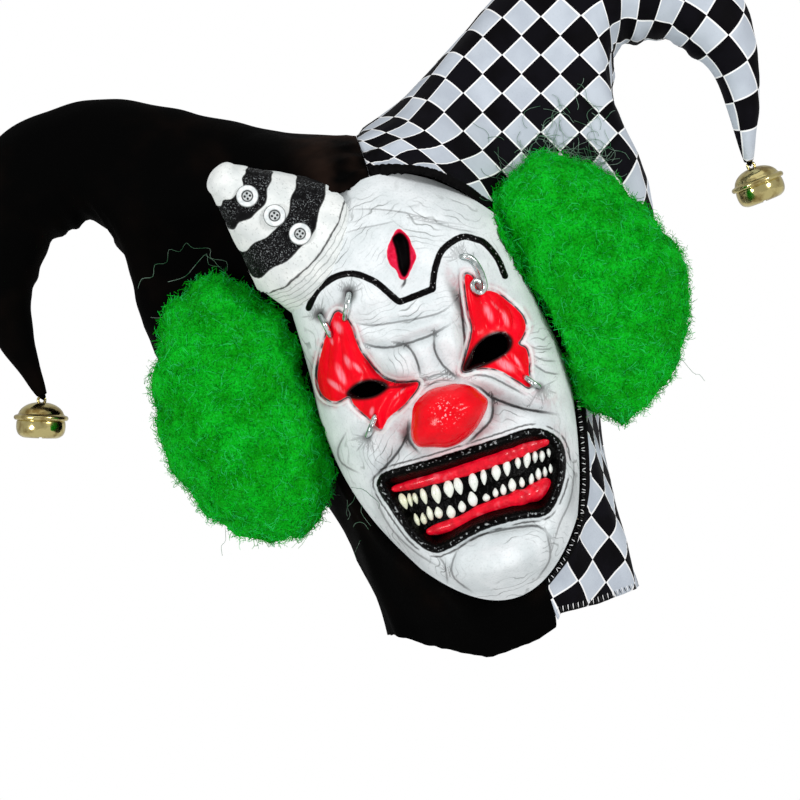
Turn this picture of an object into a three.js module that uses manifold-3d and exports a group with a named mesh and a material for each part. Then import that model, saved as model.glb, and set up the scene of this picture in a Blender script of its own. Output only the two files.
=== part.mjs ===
// Clown mask: a cast latex face in a two-horned jester hood. Millimetres, Z up, face towards -Y.
// The origin is the seat on the crown of the head, under the middle seam of the hood.
import * as THREE from 'three';
import { mergeVertices } from 'three/addons/utils/BufferGeometryUtils.js';
import Module from 'manifold-3d';

const wasm = await Module();
wasm.setup();

// Walls and clearances
const CLOTH = 1.6;
const LATEX = 2.4;
const BRASS = 1.2;
const GAP = 0.3;
const HAIR_GAP = 0.4;

// Half of the hood as ribs from the middle seam to the horn tip. Each rib is an oval from its upper
// edge to its lower edge; waist is where it is deepest, crown how square its upper part is.
const SEAM_Y = 8;
const HOOD_STATIONS = 21;
const HOOD_ROUND = 16;
const HOOD_RIBS = [
  { upperX: 0, upperZ: 1.6, lowerX: 0, lowerZ: -290, waist: 0.39, front: 104, back: 95, crown: 2.7 },
  { upperX: 22, upperZ: 8, lowerX: 20, lowerZ: -290, waist: 0.39, front: 101, back: 93, crown: 2.7 },
  { upperX: 41, upperZ: 17.5, lowerX: 38, lowerZ: -290, waist: 0.4, front: 82, back: 84, crown: 2.6 },
  { upperX: 54, upperZ: 25, lowerX: 51, lowerZ: -288, waist: 0.42, front: 63, back: 71, crown: 2.4 },
  { upperX: 61, upperZ: 29, lowerX: 59, lowerZ: -276, waist: 0.45, front: 55, back: 63, crown: 2.3 },
  { upperX: 68, upperZ: 33, lowerX: 62.5, lowerZ: -208, waist: 0.5, front: 50, back: 57, crown: 2.2 },
  { upperX: 76, upperZ: 38.5, lowerX: 72, lowerZ: -160, waist: 0.5, front: 46, back: 52, crown: 2.1 },
  { upperX: 86, upperZ: 44, lowerX: 98, lowerZ: -124, waist: 0.5, front: 42, back: 46, crown: 2 },
  { upperX: 97, upperZ: 50, lowerX: 120, lowerZ: -95, waist: 0.5, front: 38, back: 40, crown: 2 },
  { upperX: 108, upperZ: 54.5, lowerX: 126, lowerZ: -68, waist: 0.5, front: 35, back: 36, crown: 2 },
  { upperX: 120, upperZ: 57.5, lowerX: 125, lowerZ: -42, waist: 0.5, front: 32, back: 33, crown: 2 },
  { upperX: 133, upperZ: 58.5, lowerX: 124.5, lowerZ: -22, waist: 0.5, front: 30, back: 30, crown: 2 },
  { upperX: 148, upperZ: 58, lowerX: 129, lowerZ: -6, waist: 0.5, front: 28, back: 28, crown: 2 },
  { upperX: 164, upperZ: 54, lowerX: 140, lowerZ: 2, waist: 0.5, front: 26, back: 26, crown: 2 },
  { upperX: 180, upperZ: 44, lowerX: 154, lowerZ: -1.5, waist: 0.5, front: 23, back: 23, crown: 2 },
  { upperX: 193, upperZ: 26, lowerX: 166, lowerZ: -12, waist: 0.5, front: 19, back: 19, crown: 2 },
  { upperX: 200, upperZ: 3, lowerX: 173, lowerZ: -24, waist: 0.5, front: 15.5, back: 15.5, crown: 2 },
  { upperX: 199, upperZ: -21, lowerX: 176, lowerZ: -36, waist: 0.5, front: 12, back: 12, crown: 2 },
  { upperX: 193.5, upperZ: -44, lowerX: 177, lowerZ: -50, waist: 0.5, front: 8.5, back: 8.5, crown: 2 },
  { upperX: 187, upperZ: -61, lowerX: 177.5, lowerZ: -62, waist: 0.5, front: 5.5, back: 5.5, crown: 2 },
  { upperX: 183, upperZ: -71, lowerX: 178, lowerZ: -71, waist: 0.5, front: 3, back: 3, crown: 2 },
];
const INNER_END = 0.98;
const TIP_SWAY = -3.5;
const GATHER = { rise: 1.8, from: 0.5, to: 0.8 };

// Hem of the neck across the front, and the seam that steps aside under the chin
const HEM = [
  { x: -90, z: -230 },
  { x: -59, z: -234 },
  { x: -43, z: -245 },
  { x: -18, z: -259 },
  { x: 5, z: -258 },
  { x: 18, z: -255 },
  { x: 20, z: -249 },
  { x: 40, z: -251 },
  { x: 90, z: -249 },
];
const CHIN_SEAM = { x: 18.5, top: -190 };

// Rows of the face from chin to hairline: height at the middle and at the sides, middle and half
// width across, and depth at the middle and at the rim
const FACE_ROWS = [
  { zMid: -235, zSide: -207, mid: 3.5, half: 40, profile: -81, rim: -60 },
  { zMid: -222, zSide: -192, mid: 2.5, half: 47, profile: -99, rim: -55 },
  { zMid: -203, zSide: -177, mid: 1.5, half: 52.5, profile: -103, rim: -51 },
  { zMid: -182, zSide: -162, mid: 1, half: 56.5, profile: -104, rim: -49 },
  { zMid: -158, zSide: -145, mid: 1, half: 59.5, profile: -102, rim: -48 },
  { zMid: -130, zSide: -125, mid: 0.5, half: 60, profile: -98, rim: -49 },
  { zMid: -100, zSide: -105, mid: 0, half: 57.5, profile: -97, rim: -53 },
  { zMid: -70, zSide: -85, mid: -0.5, half: 56, profile: -96, rim: -55 },
  { zMid: -44, zSide: -70, mid: -1, half: 55, profile: -89, rim: -56 },
  { zMid: -22, zSide: -60, mid: -1, half: 54, profile: -70, rim: -57 },
];
const FACE_ACROSS = 18;
const FACE_UP = 26;
const FACE_SKIRT = 21;
const FACE_BACK = -14;

// Mounds and hollows of the face
const MOUNDS = [
  { x: -27, z: -80, wide: 22, tall: 11, turn: 8, rise: 6 },
  { x: 29, z: -79, wide: 22, tall: 11, turn: -8, rise: 6 },
  { x: -33, z: -112, wide: 17, tall: 17, turn: 0, rise: -5 },
  { x: 30, z: -110, wide: 17, tall: 17, turn: 0, rise: -5 },
  { x: -12, z: -111, wide: 8, tall: 9, turn: 0, rise: 5 },
  { x: 13, z: -109, wide: 8, tall: 9, turn: 0, rise: 5 },
  { x: 1, z: -124, wide: 9, tall: 14, turn: 0, rise: 7 },
  { x: -44, z: -148, wide: 14, tall: 15, turn: 25, rise: 6 },
  { x: 43, z: -149, wide: 14, tall: 15, turn: -25, rise: 6 },
  { x: 3.5, z: -217, wide: 24, tall: 12, turn: 0, rise: 7 },
  { x: 3, z: -204, wide: 30, tall: 5, turn: 0, rise: -3 },
];
const MOUTH = { x: 2, z: -180.5, half: 45, tall: 21, depth: 9, slope: 9, lip: 2.5 };
const MOUTH_STRIPS = [
  { node: 'upper_gum', z: -168.2, from: -36, to: 41, low: 2.4, high: 2.4, deep: 3.2, teeth: 0 },
  { node: 'upper_teeth', z: -175.2, from: -35, to: 40, low: 1.6, high: 4.1, deep: 3, teeth: 14 },
  { node: 'lower_teeth', z: -183.9, from: -31, to: 38.5, low: 1.6, high: 3.9, deep: 3, teeth: 14 },
  { node: 'lower_gum', z: -190.8, from: -28, to: 36, low: 2.4, high: 2.4, deep: 3.4, teeth: 0 },
];
const TOOTH_STEPS = 3;
const GUM_STEPS = 12;
const STRIP_ROUND = 6;
const EYES = [
  { x: -33.5, z: -118.3, half: 9.5, tall: 4, turn: -12 },
  { x: 27, z: -118.2, half: 12, tall: 5, turn: 14 },
];
const NOSE = { x: 0, y: -109, z: -142.4, wide: 19.3, deep: 18, tall: 15, wall: 2 };

// Cone hat on the forehead and its buttons, placed along the cone and round it
const HAT = { x: -41, y: -62, z: -39, base: 32, tip: 8.4, cap: 4, length: 54.5, sunk: 26, wall: 2.2 };
const HAT_AXIS = new THREE.Vector3(-0.53, -0.39, 0.755).normalize();
const BUTTON = { radius: 5.4, thick: 2.2, rim: 0.9, hole: 0.65, holeRing: 1.4 };
const BUTTON_HEIGHTS = [40, 25.5, 12];

// Wire pins: the two ends on the skin, and the places that the hook passes
const WIRE = 1.25;
const PIN_RISE = 2.6;
const PINS = [
  { node: 'brow_pin_outer', fromX: -43.4, fromZ: -77.8, toX: -41.7, toZ: -88.6 },
  { node: 'brow_pin_inner', fromX: -27, fromZ: -72.4, toX: -33, toZ: -83.2 },
  { node: 'cheek_pin_left', fromX: -33.6, fromZ: -131.6, toX: -40, toZ: -139.6 },
  { node: 'cheek_pin_right', fromX: 39.9, fromZ: -136.4, toX: 44.8, toZ: -143 },
];
const HOOK = [
  { x: 28.8, z: -72.6 },
  { x: 31.4, z: -72.9 },
  { x: 33.8, z: -75 },
  { x: 35.3, z: -79 },
  { x: 36, z: -84.4 },
  { x: 35.4, z: -89.6 },
  { x: 32.6, z: -91.6 },
  { x: 30, z: -89.6 },
  { x: 30, z: -86.6 },
  { x: 32, z: -85.2 },
];

// Bells under the horn tips
const BELL = { radius: 11.2, flange: 13.3, height: 17.6, rise: 7.6, eye: 2.4, eyeWire: 0.7, slot: 1.6 };
const BELLS = [
  { node: 'bell_left', side: -1, tilt: -20 },
  { node: 'bell_right', side: 1, tilt: 3 },
];

// Hair tufts: a core with locks standing out of it
const TUFTS = [
  { node: 'hair_left', x: -97, y: -43, z: -110, wide: 37, deep: 31, tall: 66, spin: 0.4 },
  { node: 'hair_right', x: 89, y: -47, z: -108, wide: 40, deep: 31, tall: 68, spin: 1.7 },
];
const LOCKS = 18;
const LOCK = { rise: 0.07, width: 0.36, detail: 5 };

// A table row part way along a table, smooth through every row
function along(rows, t) {
  const last = rows.length - 1;
  const place = THREE.MathUtils.clamp(t, 0, 1) * last;
  const i = Math.min(Math.floor(place), last - 1);
  const f = place - i;
  const row = {};
  for (const column of Object.keys(rows[0])) {
    const [a, b, c, d] = [i - 1, i, i + 1, i + 2].map(
      (k) => rows[THREE.MathUtils.clamp(k, 0, last)][column],
    );
    row[column] = b + 0.5 * f * (c - a + f * (2 * a - 5 * b + 4 * c - d + f * (3 * (b - c) + d - a)));
  }
  return row;
}

// Solids for joining and cutting, and named meshes from them
function solid(geometry) {
  const bare = geometry.index ? geometry.toNonIndexed() : geometry.clone();
  bare.deleteAttribute('normal');
  bare.deleteAttribute('uv');
  const merged = mergeVertices(bare, 1e-4);
  const index = Array.from(merged.index.array);
  const kept = [];
  for (let i = 0; i < index.length; i += 3) {
    const [a, b, c] = index.slice(i, i + 3);
    if (a !== b && b !== c && c !== a) kept.push(a, b, c);
  }
  return new wasm.Manifold(new wasm.Mesh({
    numProp: 3,
    vertProperties: merged.attributes.position.array,
    triVerts: new Uint32Array(kept),
  }));
}

function geometryOf(body) {
  const mesh = body.getMesh();
  const geometry = new THREE.BufferGeometry();
  geometry.setAttribute('position', new THREE.BufferAttribute(new Float32Array(mesh.vertProperties), 3));
  geometry.setIndex(Array.from(mesh.triVerts));
  geometry.computeVertexNormals();
  return geometry;
}

const mask = new THREE.Group();
mask.name = 'clown_mask';

function piece(name, body, color, roughness, metalness = 0) {
  const material = new THREE.MeshStandardMaterial({ color, roughness, metalness });
  const mesh = new THREE.Mesh(geometryOf(body), material);
  mesh.name = name;
  mask.add(mesh);
}

function trianglesToGeometry(points, faces) {
  const geometry = new THREE.BufferGeometry();
  geometry.setAttribute('position', new THREE.Float32BufferAttribute(points.flatMap((p) => p.toArray()), 3));
  geometry.setIndex(faces);
  return geometry;
}

// Closed body through rings of points, fanned shut at both ends
function loft(rings) {
  const round = rings[0].length;
  const points = rings.flat();
  const faces = [];
  for (let i = 0; i + 1 < rings.length; i += 1) {
    for (let j = 0; j < round; j += 1) {
      const a = i * round + j;
      const b = i * round + (j + 1) % round;
      faces.push(b, a, a + round, b, a + round, b + round);
    }
  }
  for (const [ring, first, flip] of [[rings[0], 0, true], [rings.at(-1), points.length - round, false]]) {
    const middle = ring.reduce((sum, p) => sum.add(p), new THREE.Vector3()).divideScalar(round);
    const hub = points.push(middle) - 1;
    for (let j = 0; j < round; j += 1) {
      const a = first + j;
      const b = first + (j + 1) % round;
      faces.push(...(flip ? [a, b, hub] : [b, a, hub]));
    }
  }
  return trianglesToGeometry(points, faces);
}

// Closed body between two grids of points, the first one facing -Y
function slab(front, back) {
  const across = front[0].length;
  const up = front.length;
  const points = [...front.flat(), ...back.flat()];
  const behind = across * up;
  const faces = [];
  for (let j = 0; j + 1 < up; j += 1) {
    for (let i = 0; i + 1 < across; i += 1) {
      const a = j * across + i;
      const quad = [a, a + 1, a + 1 + across, a, a + 1 + across, a + across];
      faces.push(...quad, ...quad.toReversed().map((k) => k + behind));
    }
  }
  const edge = [];
  for (let i = 0; i < across; i += 1) edge.push(i);
  for (let j = 1; j < up; j += 1) edge.push(j * across + across - 1);
  for (let i = across - 2; i >= 0; i -= 1) edge.push((up - 1) * across + i);
  for (let j = up - 2; j > 0; j -= 1) edge.push(j * across);
  edge.forEach((a, k) => {
    const b = edge[(k + 1) % edge.length];
    faces.push(b, a, a + behind, b, a + behind, b + behind);
  });
  return trianglesToGeometry(points, faces);
}

// Upright outline in X and Z carried from one depth to another
function prism(outline, fromY, toY) {
  const shape = new THREE.Shape(outline.map((p) => new THREE.Vector2(p.x, p.z)));
  const geometry = new THREE.ExtrudeGeometry(shape, { depth: toY - fromY, bevelEnabled: false });
  geometry.rotateX(Math.PI / 2);
  geometry.translate(0, toY, 0);
  return solid(geometry);
}

function box(x0, x1, y0, y1, z0, z1) {
  const geometry = new THREE.BoxGeometry(x1 - x0, y1 - y0, z1 - z0);
  geometry.translate((x0 + x1) / 2, (y0 + y1) / 2, (z0 + z1) / 2);
  return solid(geometry);
}

function tube(path, radius, steps, sides) {
  const circle = new THREE.Shape().absarc(0, 0, radius, 0, 2 * Math.PI);
  const outline = new THREE.Shape(circle.getSpacedPoints(sides).slice(0, sides));
  return solid(new THREE.ExtrudeGeometry(outline, { steps, bevelEnabled: false, extrudePath: path }));
}

function turned(profile, segments) {
  const points = profile.map(([radius, height]) => new THREE.Vector2(radius, height));
  return new THREE.LatheGeometry(points, segments).rotateX(Math.PI / 2);
}

// Points of a grid moved along their own normals
function shifted(grid, offset, wraps) {
  const at = (j, i) => {
    const line = grid[THREE.MathUtils.clamp(j, 0, grid.length - 1)];
    const place = wraps ? THREE.MathUtils.euclideanModulo(i, line.length) : i;
    return line[THREE.MathUtils.clamp(place, 0, line.length - 1)];
  };
  return grid.map((line, j) => line.map((p, i) => {
    const across = at(j, i + 1).clone().sub(at(j, i - 1));
    const up = at(j + 1, i).clone().sub(at(j - 1, i));
    return p.clone().addScaledVector(across.cross(up).normalize(), offset);
  }));
}

// Gathers at the inner bend of a horn: every second rib is drawn in
function gather(k, reach) {
  const middle = (GATHER.from + GATHER.to) / 2;
  const fade = Math.max(0, 1 - Math.abs(reach - middle) / (GATHER.to - middle));
  return 2 * GATHER.rise * Math.sqrt(fade) * (k % 2 ? -1 : 1);
}

// Hood, grown or shrunk by an offset
function hoodBody(offset, end) {
  const bend = (value, power) => Math.sign(value) * Math.abs(value) ** (2 / power);
  const rings = [];
  for (let k = -HOOD_STATIONS; k <= HOOD_STATIONS; k += 1) {
    const reach = Math.abs(k) / HOOD_STATIONS * end;
    const rib = along(HOOD_RIBS, reach);
    const side = Math.sign(k) || 1;
    const sway = TIP_SWAY * THREE.MathUtils.smoothstep(reach, 0.75, 1);
    const upper = new THREE.Vector3(side * rib.upperX + sway, SEAM_Y, rib.upperZ);
    const lower = new THREE.Vector3(side * rib.lowerX + sway, SEAM_Y, rib.lowerZ);
    const waist = upper.clone().lerp(lower, rib.waist);
    const pinch = 1 + gather(k, reach) / upper.distanceTo(lower);
    const ring = [];
    for (let j = 0; j < HOOD_ROUND; j += 1) {
      const angle = 2 * Math.PI * j / HOOD_ROUND;
      const power = Math.cos(angle) > 0 ? rib.crown : 2;
      const rise = bend(Math.cos(angle), power) * (Math.cos(angle) > 0 ? 1 : pinch);
      const out = bend(Math.sin(angle), power);
      const point = waist.clone().lerp(rise > 0 ? upper : lower, Math.abs(rise));
      point.y += out * (out > 0 ? rib.back : rib.front);
      ring.push(point);
    }
    rings.push(ring);
  }
  return solid(loft(shifted(rings, -offset, true)));
}

// Face: depth of the skin at a place seen from the front
const faceRow = (v) => along(FACE_ROWS, v);

function facePlace(u, v) {
  const row = faceRow(v);
  return { x: row.mid + row.half * u, z: row.zMid + (row.zSide - row.zMid) * u * u };
}

function relief(x, z) {
  let rise = 0;
  for (const m of MOUNDS) {
    const turn = THREE.MathUtils.degToRad(m.turn);
    const a = (x - m.x) * Math.cos(turn) + (z - m.z) * Math.sin(turn);
    const b = (z - m.z) * Math.cos(turn) - (x - m.x) * Math.sin(turn);
    rise += m.rise * Math.exp(-1.4 * ((a / m.wide) ** 2 + (b / m.tall) ** 2));
  }
  const reach = (((x - MOUTH.x) / MOUTH.half) ** 4 + ((z - MOUTH.z) / MOUTH.tall) ** 4) ** 0.25;
  const inside = (1 - reach) * MOUTH.tall;
  rise -= MOUTH.depth * THREE.MathUtils.smoothstep(inside, 0, MOUTH.slope);
  rise += MOUTH.lip * Math.exp(-((inside + 2) ** 2) / 9);
  return rise;
}

function faceDepth(u, v) {
  const row = faceRow(v);
  const { x, z } = facePlace(u, v);
  const fall = 1 - Math.sqrt(Math.max(0, 1 - u * u));
  const fade = Math.min(1, 4 * (1 - Math.abs(u))) * Math.min(1, 8 * v, 8 * (1 - v));
  return row.profile + (row.rim - row.profile) * fall - fade * relief(x, z);
}

function skinY(x, z) {
  let low = 0;
  let high = 1;
  for (let i = 0; i < 30; i += 1) {
    const v = (low + high) / 2;
    const row = faceRow(v);
    if (facePlace((x - row.mid) / row.half, v).z < z) low = v;
    else high = v;
  }
  const row = faceRow(low);
  return faceDepth(THREE.MathUtils.clamp((x - row.mid) / row.half, -1, 1), low);
}

function faceGrid(offset) {
  const grid = [];
  for (let j = 0; j <= FACE_UP + 2; j += 1) {
    const v = THREE.MathUtils.clamp((j - 1) / FACE_UP, 0, 1);
    const line = [];
    for (let i = 0; i <= FACE_ACROSS + 2; i += 1) {
      const t = THREE.MathUtils.clamp((i - 1) / FACE_ACROSS, 0, 1) * 2 - 1;
      const u = 0.45 * t + 0.55 * Math.sin(t * Math.PI / 2);
      const place = facePlace(u, v);
      const onSkirt = i === 0 || j === 0 || i === FACE_ACROSS + 2 || j === FACE_UP + 2;
      line.push(new THREE.Vector3(place.x, faceDepth(u, v) + (onSkirt ? FACE_SKIRT : 0), place.z));
    }
    grid.push(line);
  }
  return shifted(grid, offset, false);
}

function faceBlock(offset) {
  const front = faceGrid(offset);
  const back = front.map((line) => line.map((p) => new THREE.Vector3(p.x, FACE_BACK, p.z)));
  return solid(slab(front, back));
}

function faceOutline(offset) {
  const grid = faceGrid(offset);
  const inner = grid.slice(1, -1).map((line) => line.slice(1, -1));
  const right = inner.slice(1, -1).map((line) => line.at(-1));
  const left = inner.slice(1, -1).map((line) => line[0]).reverse();
  return [...inner[0], ...right, ...inner.at(-1).toReversed(), ...left];
}

// Hood halves: hollow cloth, open at the face and the neck
const face = faceBlock(GAP);
const hoodAround = hoodBody(GAP, 1);
const belowHem = [...HEM, { x: 90, z: -400 }, { x: -90, z: -400 }].toReversed();
const hood = hoodBody(0, 1)
  .subtract(hoodBody(-CLOTH, INNER_END))
  .subtract(prism(faceOutline(GAP), -200, SEAM_Y))
  .subtract(prism(belowHem, -200, 200));

function blackSide(shift) {
  const half = box(-300, shift, -200, 200, -400, 100);
  return half.add(box(-1, CHIN_SEAM.x + shift, -200, SEAM_Y + shift, -400, CHIN_SEAM.top + shift));
}
piece('hood_black', hood.intersect(blackSide(-GAP / 2)), '#16130f', 0.85);
piece('hood_check', hood.subtract(blackSide(GAP / 2)), '#8d9094', 0.85);

// Face casting with its eye holes
function eyeHole(eye) {
  const outline = [];
  const turn = THREE.MathUtils.degToRad(eye.turn);
  for (let k = 0; k < 14; k += 1) {
    const angle = 2 * Math.PI * k / 14;
    const a = eye.half * Math.cos(angle);
    const b = eye.tall * Math.sin(angle) * (1 - 0.35 * Math.cos(angle) ** 2);
    outline.push({
      x: eye.x + a * Math.cos(turn) - b * Math.sin(turn),
      z: eye.z + a * Math.sin(turn) + b * Math.cos(turn),
    });
  }
  return prism(outline, -200, SEAM_Y);
}
let casting = solid(slab(faceGrid(0), faceGrid(-LATEX)));
for (const eye of EYES) casting = casting.subtract(eyeHole(eye));
piece('face', casting, '#e2e0d8', 0.6);

// Nose ball, hollow and seated on the skin
function ball(size, shrink, across, up) {
  const geometry = new THREE.SphereGeometry(1, across, up);
  geometry.scale(size.wide - shrink, size.deep - shrink, size.tall - shrink);
  geometry.translate(size.x, size.y, size.z);
  return solid(geometry);
}
piece('nose', ball(NOSE, 0, 14, 8).subtract(ball(NOSE, NOSE.wall, 10, 6)).subtract(face), '#a3100c', 0.3);

// Gums and rows of teeth, bedded on the skin of the mouth: a bar, scalloped where it carries teeth
function mouthStrip(strip) {
  const rings = [];
  const steps = strip.teeth ? strip.teeth * TOOTH_STEPS : GUM_STEPS;
  for (let k = 0; k <= steps; k += 1) {
    const x = THREE.MathUtils.lerp(strip.from, strip.to, k / steps);
    const swell = strip.teeth ? Math.sin(Math.PI * (k % TOOTH_STEPS) / TOOTH_STEPS) ** 0.6 : 1;
    const high = THREE.MathUtils.lerp(strip.low, strip.high, swell);
    const deep = THREE.MathUtils.lerp(strip.deep * 0.6, strip.deep, swell);
    const y = skinY(x, strip.z);
    const ring = [];
    for (let j = 0; j < STRIP_ROUND; j += 1) {
      const angle = 2 * Math.PI * j / STRIP_ROUND;
      ring.push(new THREE.Vector3(x, y - deep * Math.cos(angle), strip.z + high * Math.sin(angle)));
    }
    rings.push(ring);
  }
  return solid(loft(rings)).subtract(face);
}
for (const strip of MOUTH_STRIPS) {
  const isGum = strip.teeth === 0;
  piece(strip.node, mouthStrip(strip), isGum ? '#8c100c' : '#d8cfae', isGum ? 0.35 : 0.4);
}

// Cone hat: turned about its own axis, then cut to the forehead and the hood
function hatBody(grow) {
  const low = -HAT.sunk;
  const radius = (height) => HAT.base + (HAT.tip - HAT.base) * height / (HAT.length - HAT.cap) + grow;
  const profile = [[0, low], [radius(0) - 1, low]];
  const end = HAT.length - HAT.cap;
  profile.push([radius(0), 0]);
  for (let k = 0; k <= 3; k += 1) {
    const angle = k / 3 * Math.PI / 2;
    profile.push([Math.cos(angle) * radius(end), end + Math.sin(angle) * (HAT.cap + grow)]);
  }
  profile.at(-1)[0] = 0;
  return turned(profile, 18);
}
const hatTurn = new THREE.Quaternion().setFromUnitVectors(new THREE.Vector3(0, 0, 1), HAT_AXIS);
const hatMatrix = new THREE.Matrix4().compose(
  new THREE.Vector3(HAT.x, HAT.y, HAT.z), hatTurn, new THREE.Vector3(1, 1, 1),
);
const onHat = (geometry) => solid(geometry.applyMatrix4(hatMatrix));
const hat = onHat(hatBody(0))
  .subtract(onHat(hatBody(-HAT.wall)))
  .subtract(face)
  .subtract(hoodAround);
piece('cone_hat', hat, '#dcdad2', 0.6);

// Buttons: a dished disc with four holes, laid on the side of the cone that faces forward
function button() {
  const { radius, thick, rim } = BUTTON;
  const profile = [[0, 0], [radius, 0], [radius, thick - rim], [radius - rim, thick]];
  profile.push([radius - 2 * rim, thick], [radius - 2.6 * rim, thick - rim], [0, thick - rim]);
  let body = solid(turned(profile, 12));
  for (let k = 0; k < 4; k += 1) {
    const hole = new THREE.CylinderGeometry(BUTTON.hole, BUTTON.hole, 3 * thick, 5).rotateX(Math.PI / 2);
    const angle = Math.PI / 4 + k * Math.PI / 2;
    hole.translate(BUTTON.holeRing * Math.cos(angle), BUTTON.holeRing * Math.sin(angle), 0);
    body = body.subtract(solid(hole));
  }
  return geometryOf(body);
}
const slope = Math.atan2(HAT.base - HAT.tip, HAT.length - HAT.cap);
const forward = new THREE.Vector3(0.12, -1, -0.1).applyQuaternion(hatTurn.clone().invert());
const facing = Math.atan2(forward.y, forward.x);
BUTTON_HEIGHTS.forEach((height, k) => {
  const reach = HAT.base + (HAT.tip - HAT.base) * height / (HAT.length - HAT.cap) + GAP / Math.cos(slope);
  const geometry = button();
  geometry.rotateY(Math.PI / 2 - slope);
  geometry.translate(reach, 0, height);
  geometry.rotateZ(facing);
  piece(`hat_button_${k + 1}`, onHat(geometry), '#e4e2da', 0.4);
});

// Steel staples and the curled hook, their ends on the skin
function staple(pin) {
  const path = [];
  for (let k = 0; k <= 6; k += 1) {
    const x = THREE.MathUtils.lerp(pin.fromX, pin.toX, k / 6);
    const z = THREE.MathUtils.lerp(pin.fromZ, pin.toZ, k / 6);
    path.push(new THREE.Vector3(x, skinY(x, z) - PIN_RISE * Math.sin(Math.PI * k / 6), z));
  }
  return tube(new THREE.CatmullRomCurve3(path), WIRE, 7, 5).subtract(face);
}
for (const pin of PINS) piece(pin.node, staple(pin), '#9a9a98', 0.3, 1);

function hook() {
  const rise = (k) => PIN_RISE * 0.8 * Math.min(k, 1);
  const path = HOOK.map(({ x, z }, k) => new THREE.Vector3(x, skinY(x, z) - rise(k), z));
  return tube(new THREE.CatmullRomCurve3(path), WIRE * 0.85, 24, 5).subtract(face);
}
piece('brow_hook', hook(), '#9a9a98', 0.3, 1);

// Bells: hollow, slotted below, with an eye on top that hangs under the horn tip
function bellBody(wall) {
  const { radius, flange, height, rise } = BELL;
  const profile = [[0, -height + wall], [radius * 0.72 - wall, -height + wall]];
  profile.push([radius * 0.95 - wall, -height + 2.6 + wall * 0.4]);
  profile.push([radius - wall, -rise - 1]);
  if (wall === 0) profile.push([flange, -rise - 0.8], [flange, -rise + 0.8]);
  for (let k = 0; k <= 4; k += 1) {
    const angle = k / 4 * Math.PI / 2;
    profile.push([(radius - wall) * Math.cos(angle), -rise + 0.8 + (rise - 0.8 - wall) * Math.sin(angle)]);
  }
  profile.at(-1)[0] = 0;
  return turned(profile, 12);
}
function bell() {
  const { radius, height, slot, eye, eyeWire } = BELL;
  const loop = new THREE.TorusGeometry(eye - eyeWire, eyeWire, 5, 8).rotateX(Math.PI / 2);
  loop.translate(0, 0, eye - 2 * eyeWire);
  return solid(bellBody(0))
    .add(solid(loop))
    .subtract(solid(bellBody(BRASS)))
    .subtract(box(-radius * 0.8, radius * 0.8, -slot / 2, slot / 2, -height - 1, -height + 5))
    .subtract(box(-slot / 2, slot / 2, -radius * 0.8, radius * 0.8, -height - 1, -height + 5));
}
const hornTip = HOOD_RIBS.at(-1);
for (const { node, side, tilt } of BELLS) {
  const geometry = geometryOf(bell());
  geometry.translate(0, 0, -2 * BELL.eye + 2 * BELL.eyeWire - GAP);
  geometry.rotateY(THREE.MathUtils.degToRad(-tilt));
  geometry.translate(side * (hornTip.upperX + hornTip.lowerX) / 2 + TIP_SWAY, SEAM_Y, hornTip.upperZ);
  piece(node, solid(geometry).subtract(hoodAround), '#b08a3c', 0.25, 1);
}

// Hair tufts: locks swelling out of a core, cut clear of hood, face and hat
function tuft(row) {
  const locks = [];
  for (let k = 0; k < LOCKS; k += 1) {
    const height = 1 - 2 * (k + 0.5) / LOCKS;
    const angle = row.spin + k * Math.PI * (3 - Math.sqrt(5));
    const across = Math.sqrt(1 - height * height);
    locks.push(new THREE.Vector3(across * Math.cos(angle), across * Math.sin(angle), height));
  }
  const geometry = new THREE.IcosahedronGeometry(1, LOCK.detail);
  const places = geometry.getAttribute('position');
  for (let k = 0; k < places.count; k += 1) {
    const out = new THREE.Vector3().fromBufferAttribute(places, k).normalize();
    const nearest = Math.min(...locks.map((lock) => lock.angleTo(out)));
    out.multiplyScalar(1 + LOCK.rise * Math.exp(-((nearest / LOCK.width) ** 2)));
    places.setXYZ(k, out.x, out.y, out.z);
  }
  geometry.scale(row.wide, row.deep, row.tall).translate(row.x, row.y, row.z);
  return solid(geometry)
    .subtract(hoodBody(HAIR_GAP, 1))
    .subtract(faceBlock(HAIR_GAP))
    .subtract(onHat(hatBody(HAIR_GAP)));
}
for (const row of TUFTS) piece(row.node, tuft(row), '#138a1e', 0.8);

export default mask;
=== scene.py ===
"""Clown mask: a painted latex face in a two-horned jester hood, with a cone hat, hair tufts and bells.
Sizes are millimetres in the mask's own frame, X across, Y back and Z up, and meshes are in metres."""
import math

import bpy
import numpy as np
from mathutils import Matrix, Vector
from mathutils.bvhtree import BVHTree


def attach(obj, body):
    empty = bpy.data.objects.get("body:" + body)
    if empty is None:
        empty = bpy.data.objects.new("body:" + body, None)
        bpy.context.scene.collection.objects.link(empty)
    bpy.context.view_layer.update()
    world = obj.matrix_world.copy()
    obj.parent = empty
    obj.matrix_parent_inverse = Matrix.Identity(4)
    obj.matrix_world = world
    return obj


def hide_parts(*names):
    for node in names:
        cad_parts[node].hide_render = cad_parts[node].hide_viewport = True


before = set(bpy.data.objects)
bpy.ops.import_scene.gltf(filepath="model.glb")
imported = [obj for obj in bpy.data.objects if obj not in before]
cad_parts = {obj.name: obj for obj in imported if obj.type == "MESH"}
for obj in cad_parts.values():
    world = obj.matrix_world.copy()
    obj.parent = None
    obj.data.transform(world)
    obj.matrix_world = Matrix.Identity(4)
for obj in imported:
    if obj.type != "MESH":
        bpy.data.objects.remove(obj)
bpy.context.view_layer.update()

# Face casting
# One shell of white latex, cast about 2.4 mm thick, sculpted with brows, pouches, cheeks and a wide
# grimace, then airbrushed red round the eyes and black in the mouth; its grey in the creases and hollows is
# partly airbrush and partly painted shade.
MM = 0.001
LATEX = 2.4
FACE_ACROSS = 144
FACE_UP = 244
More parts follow.
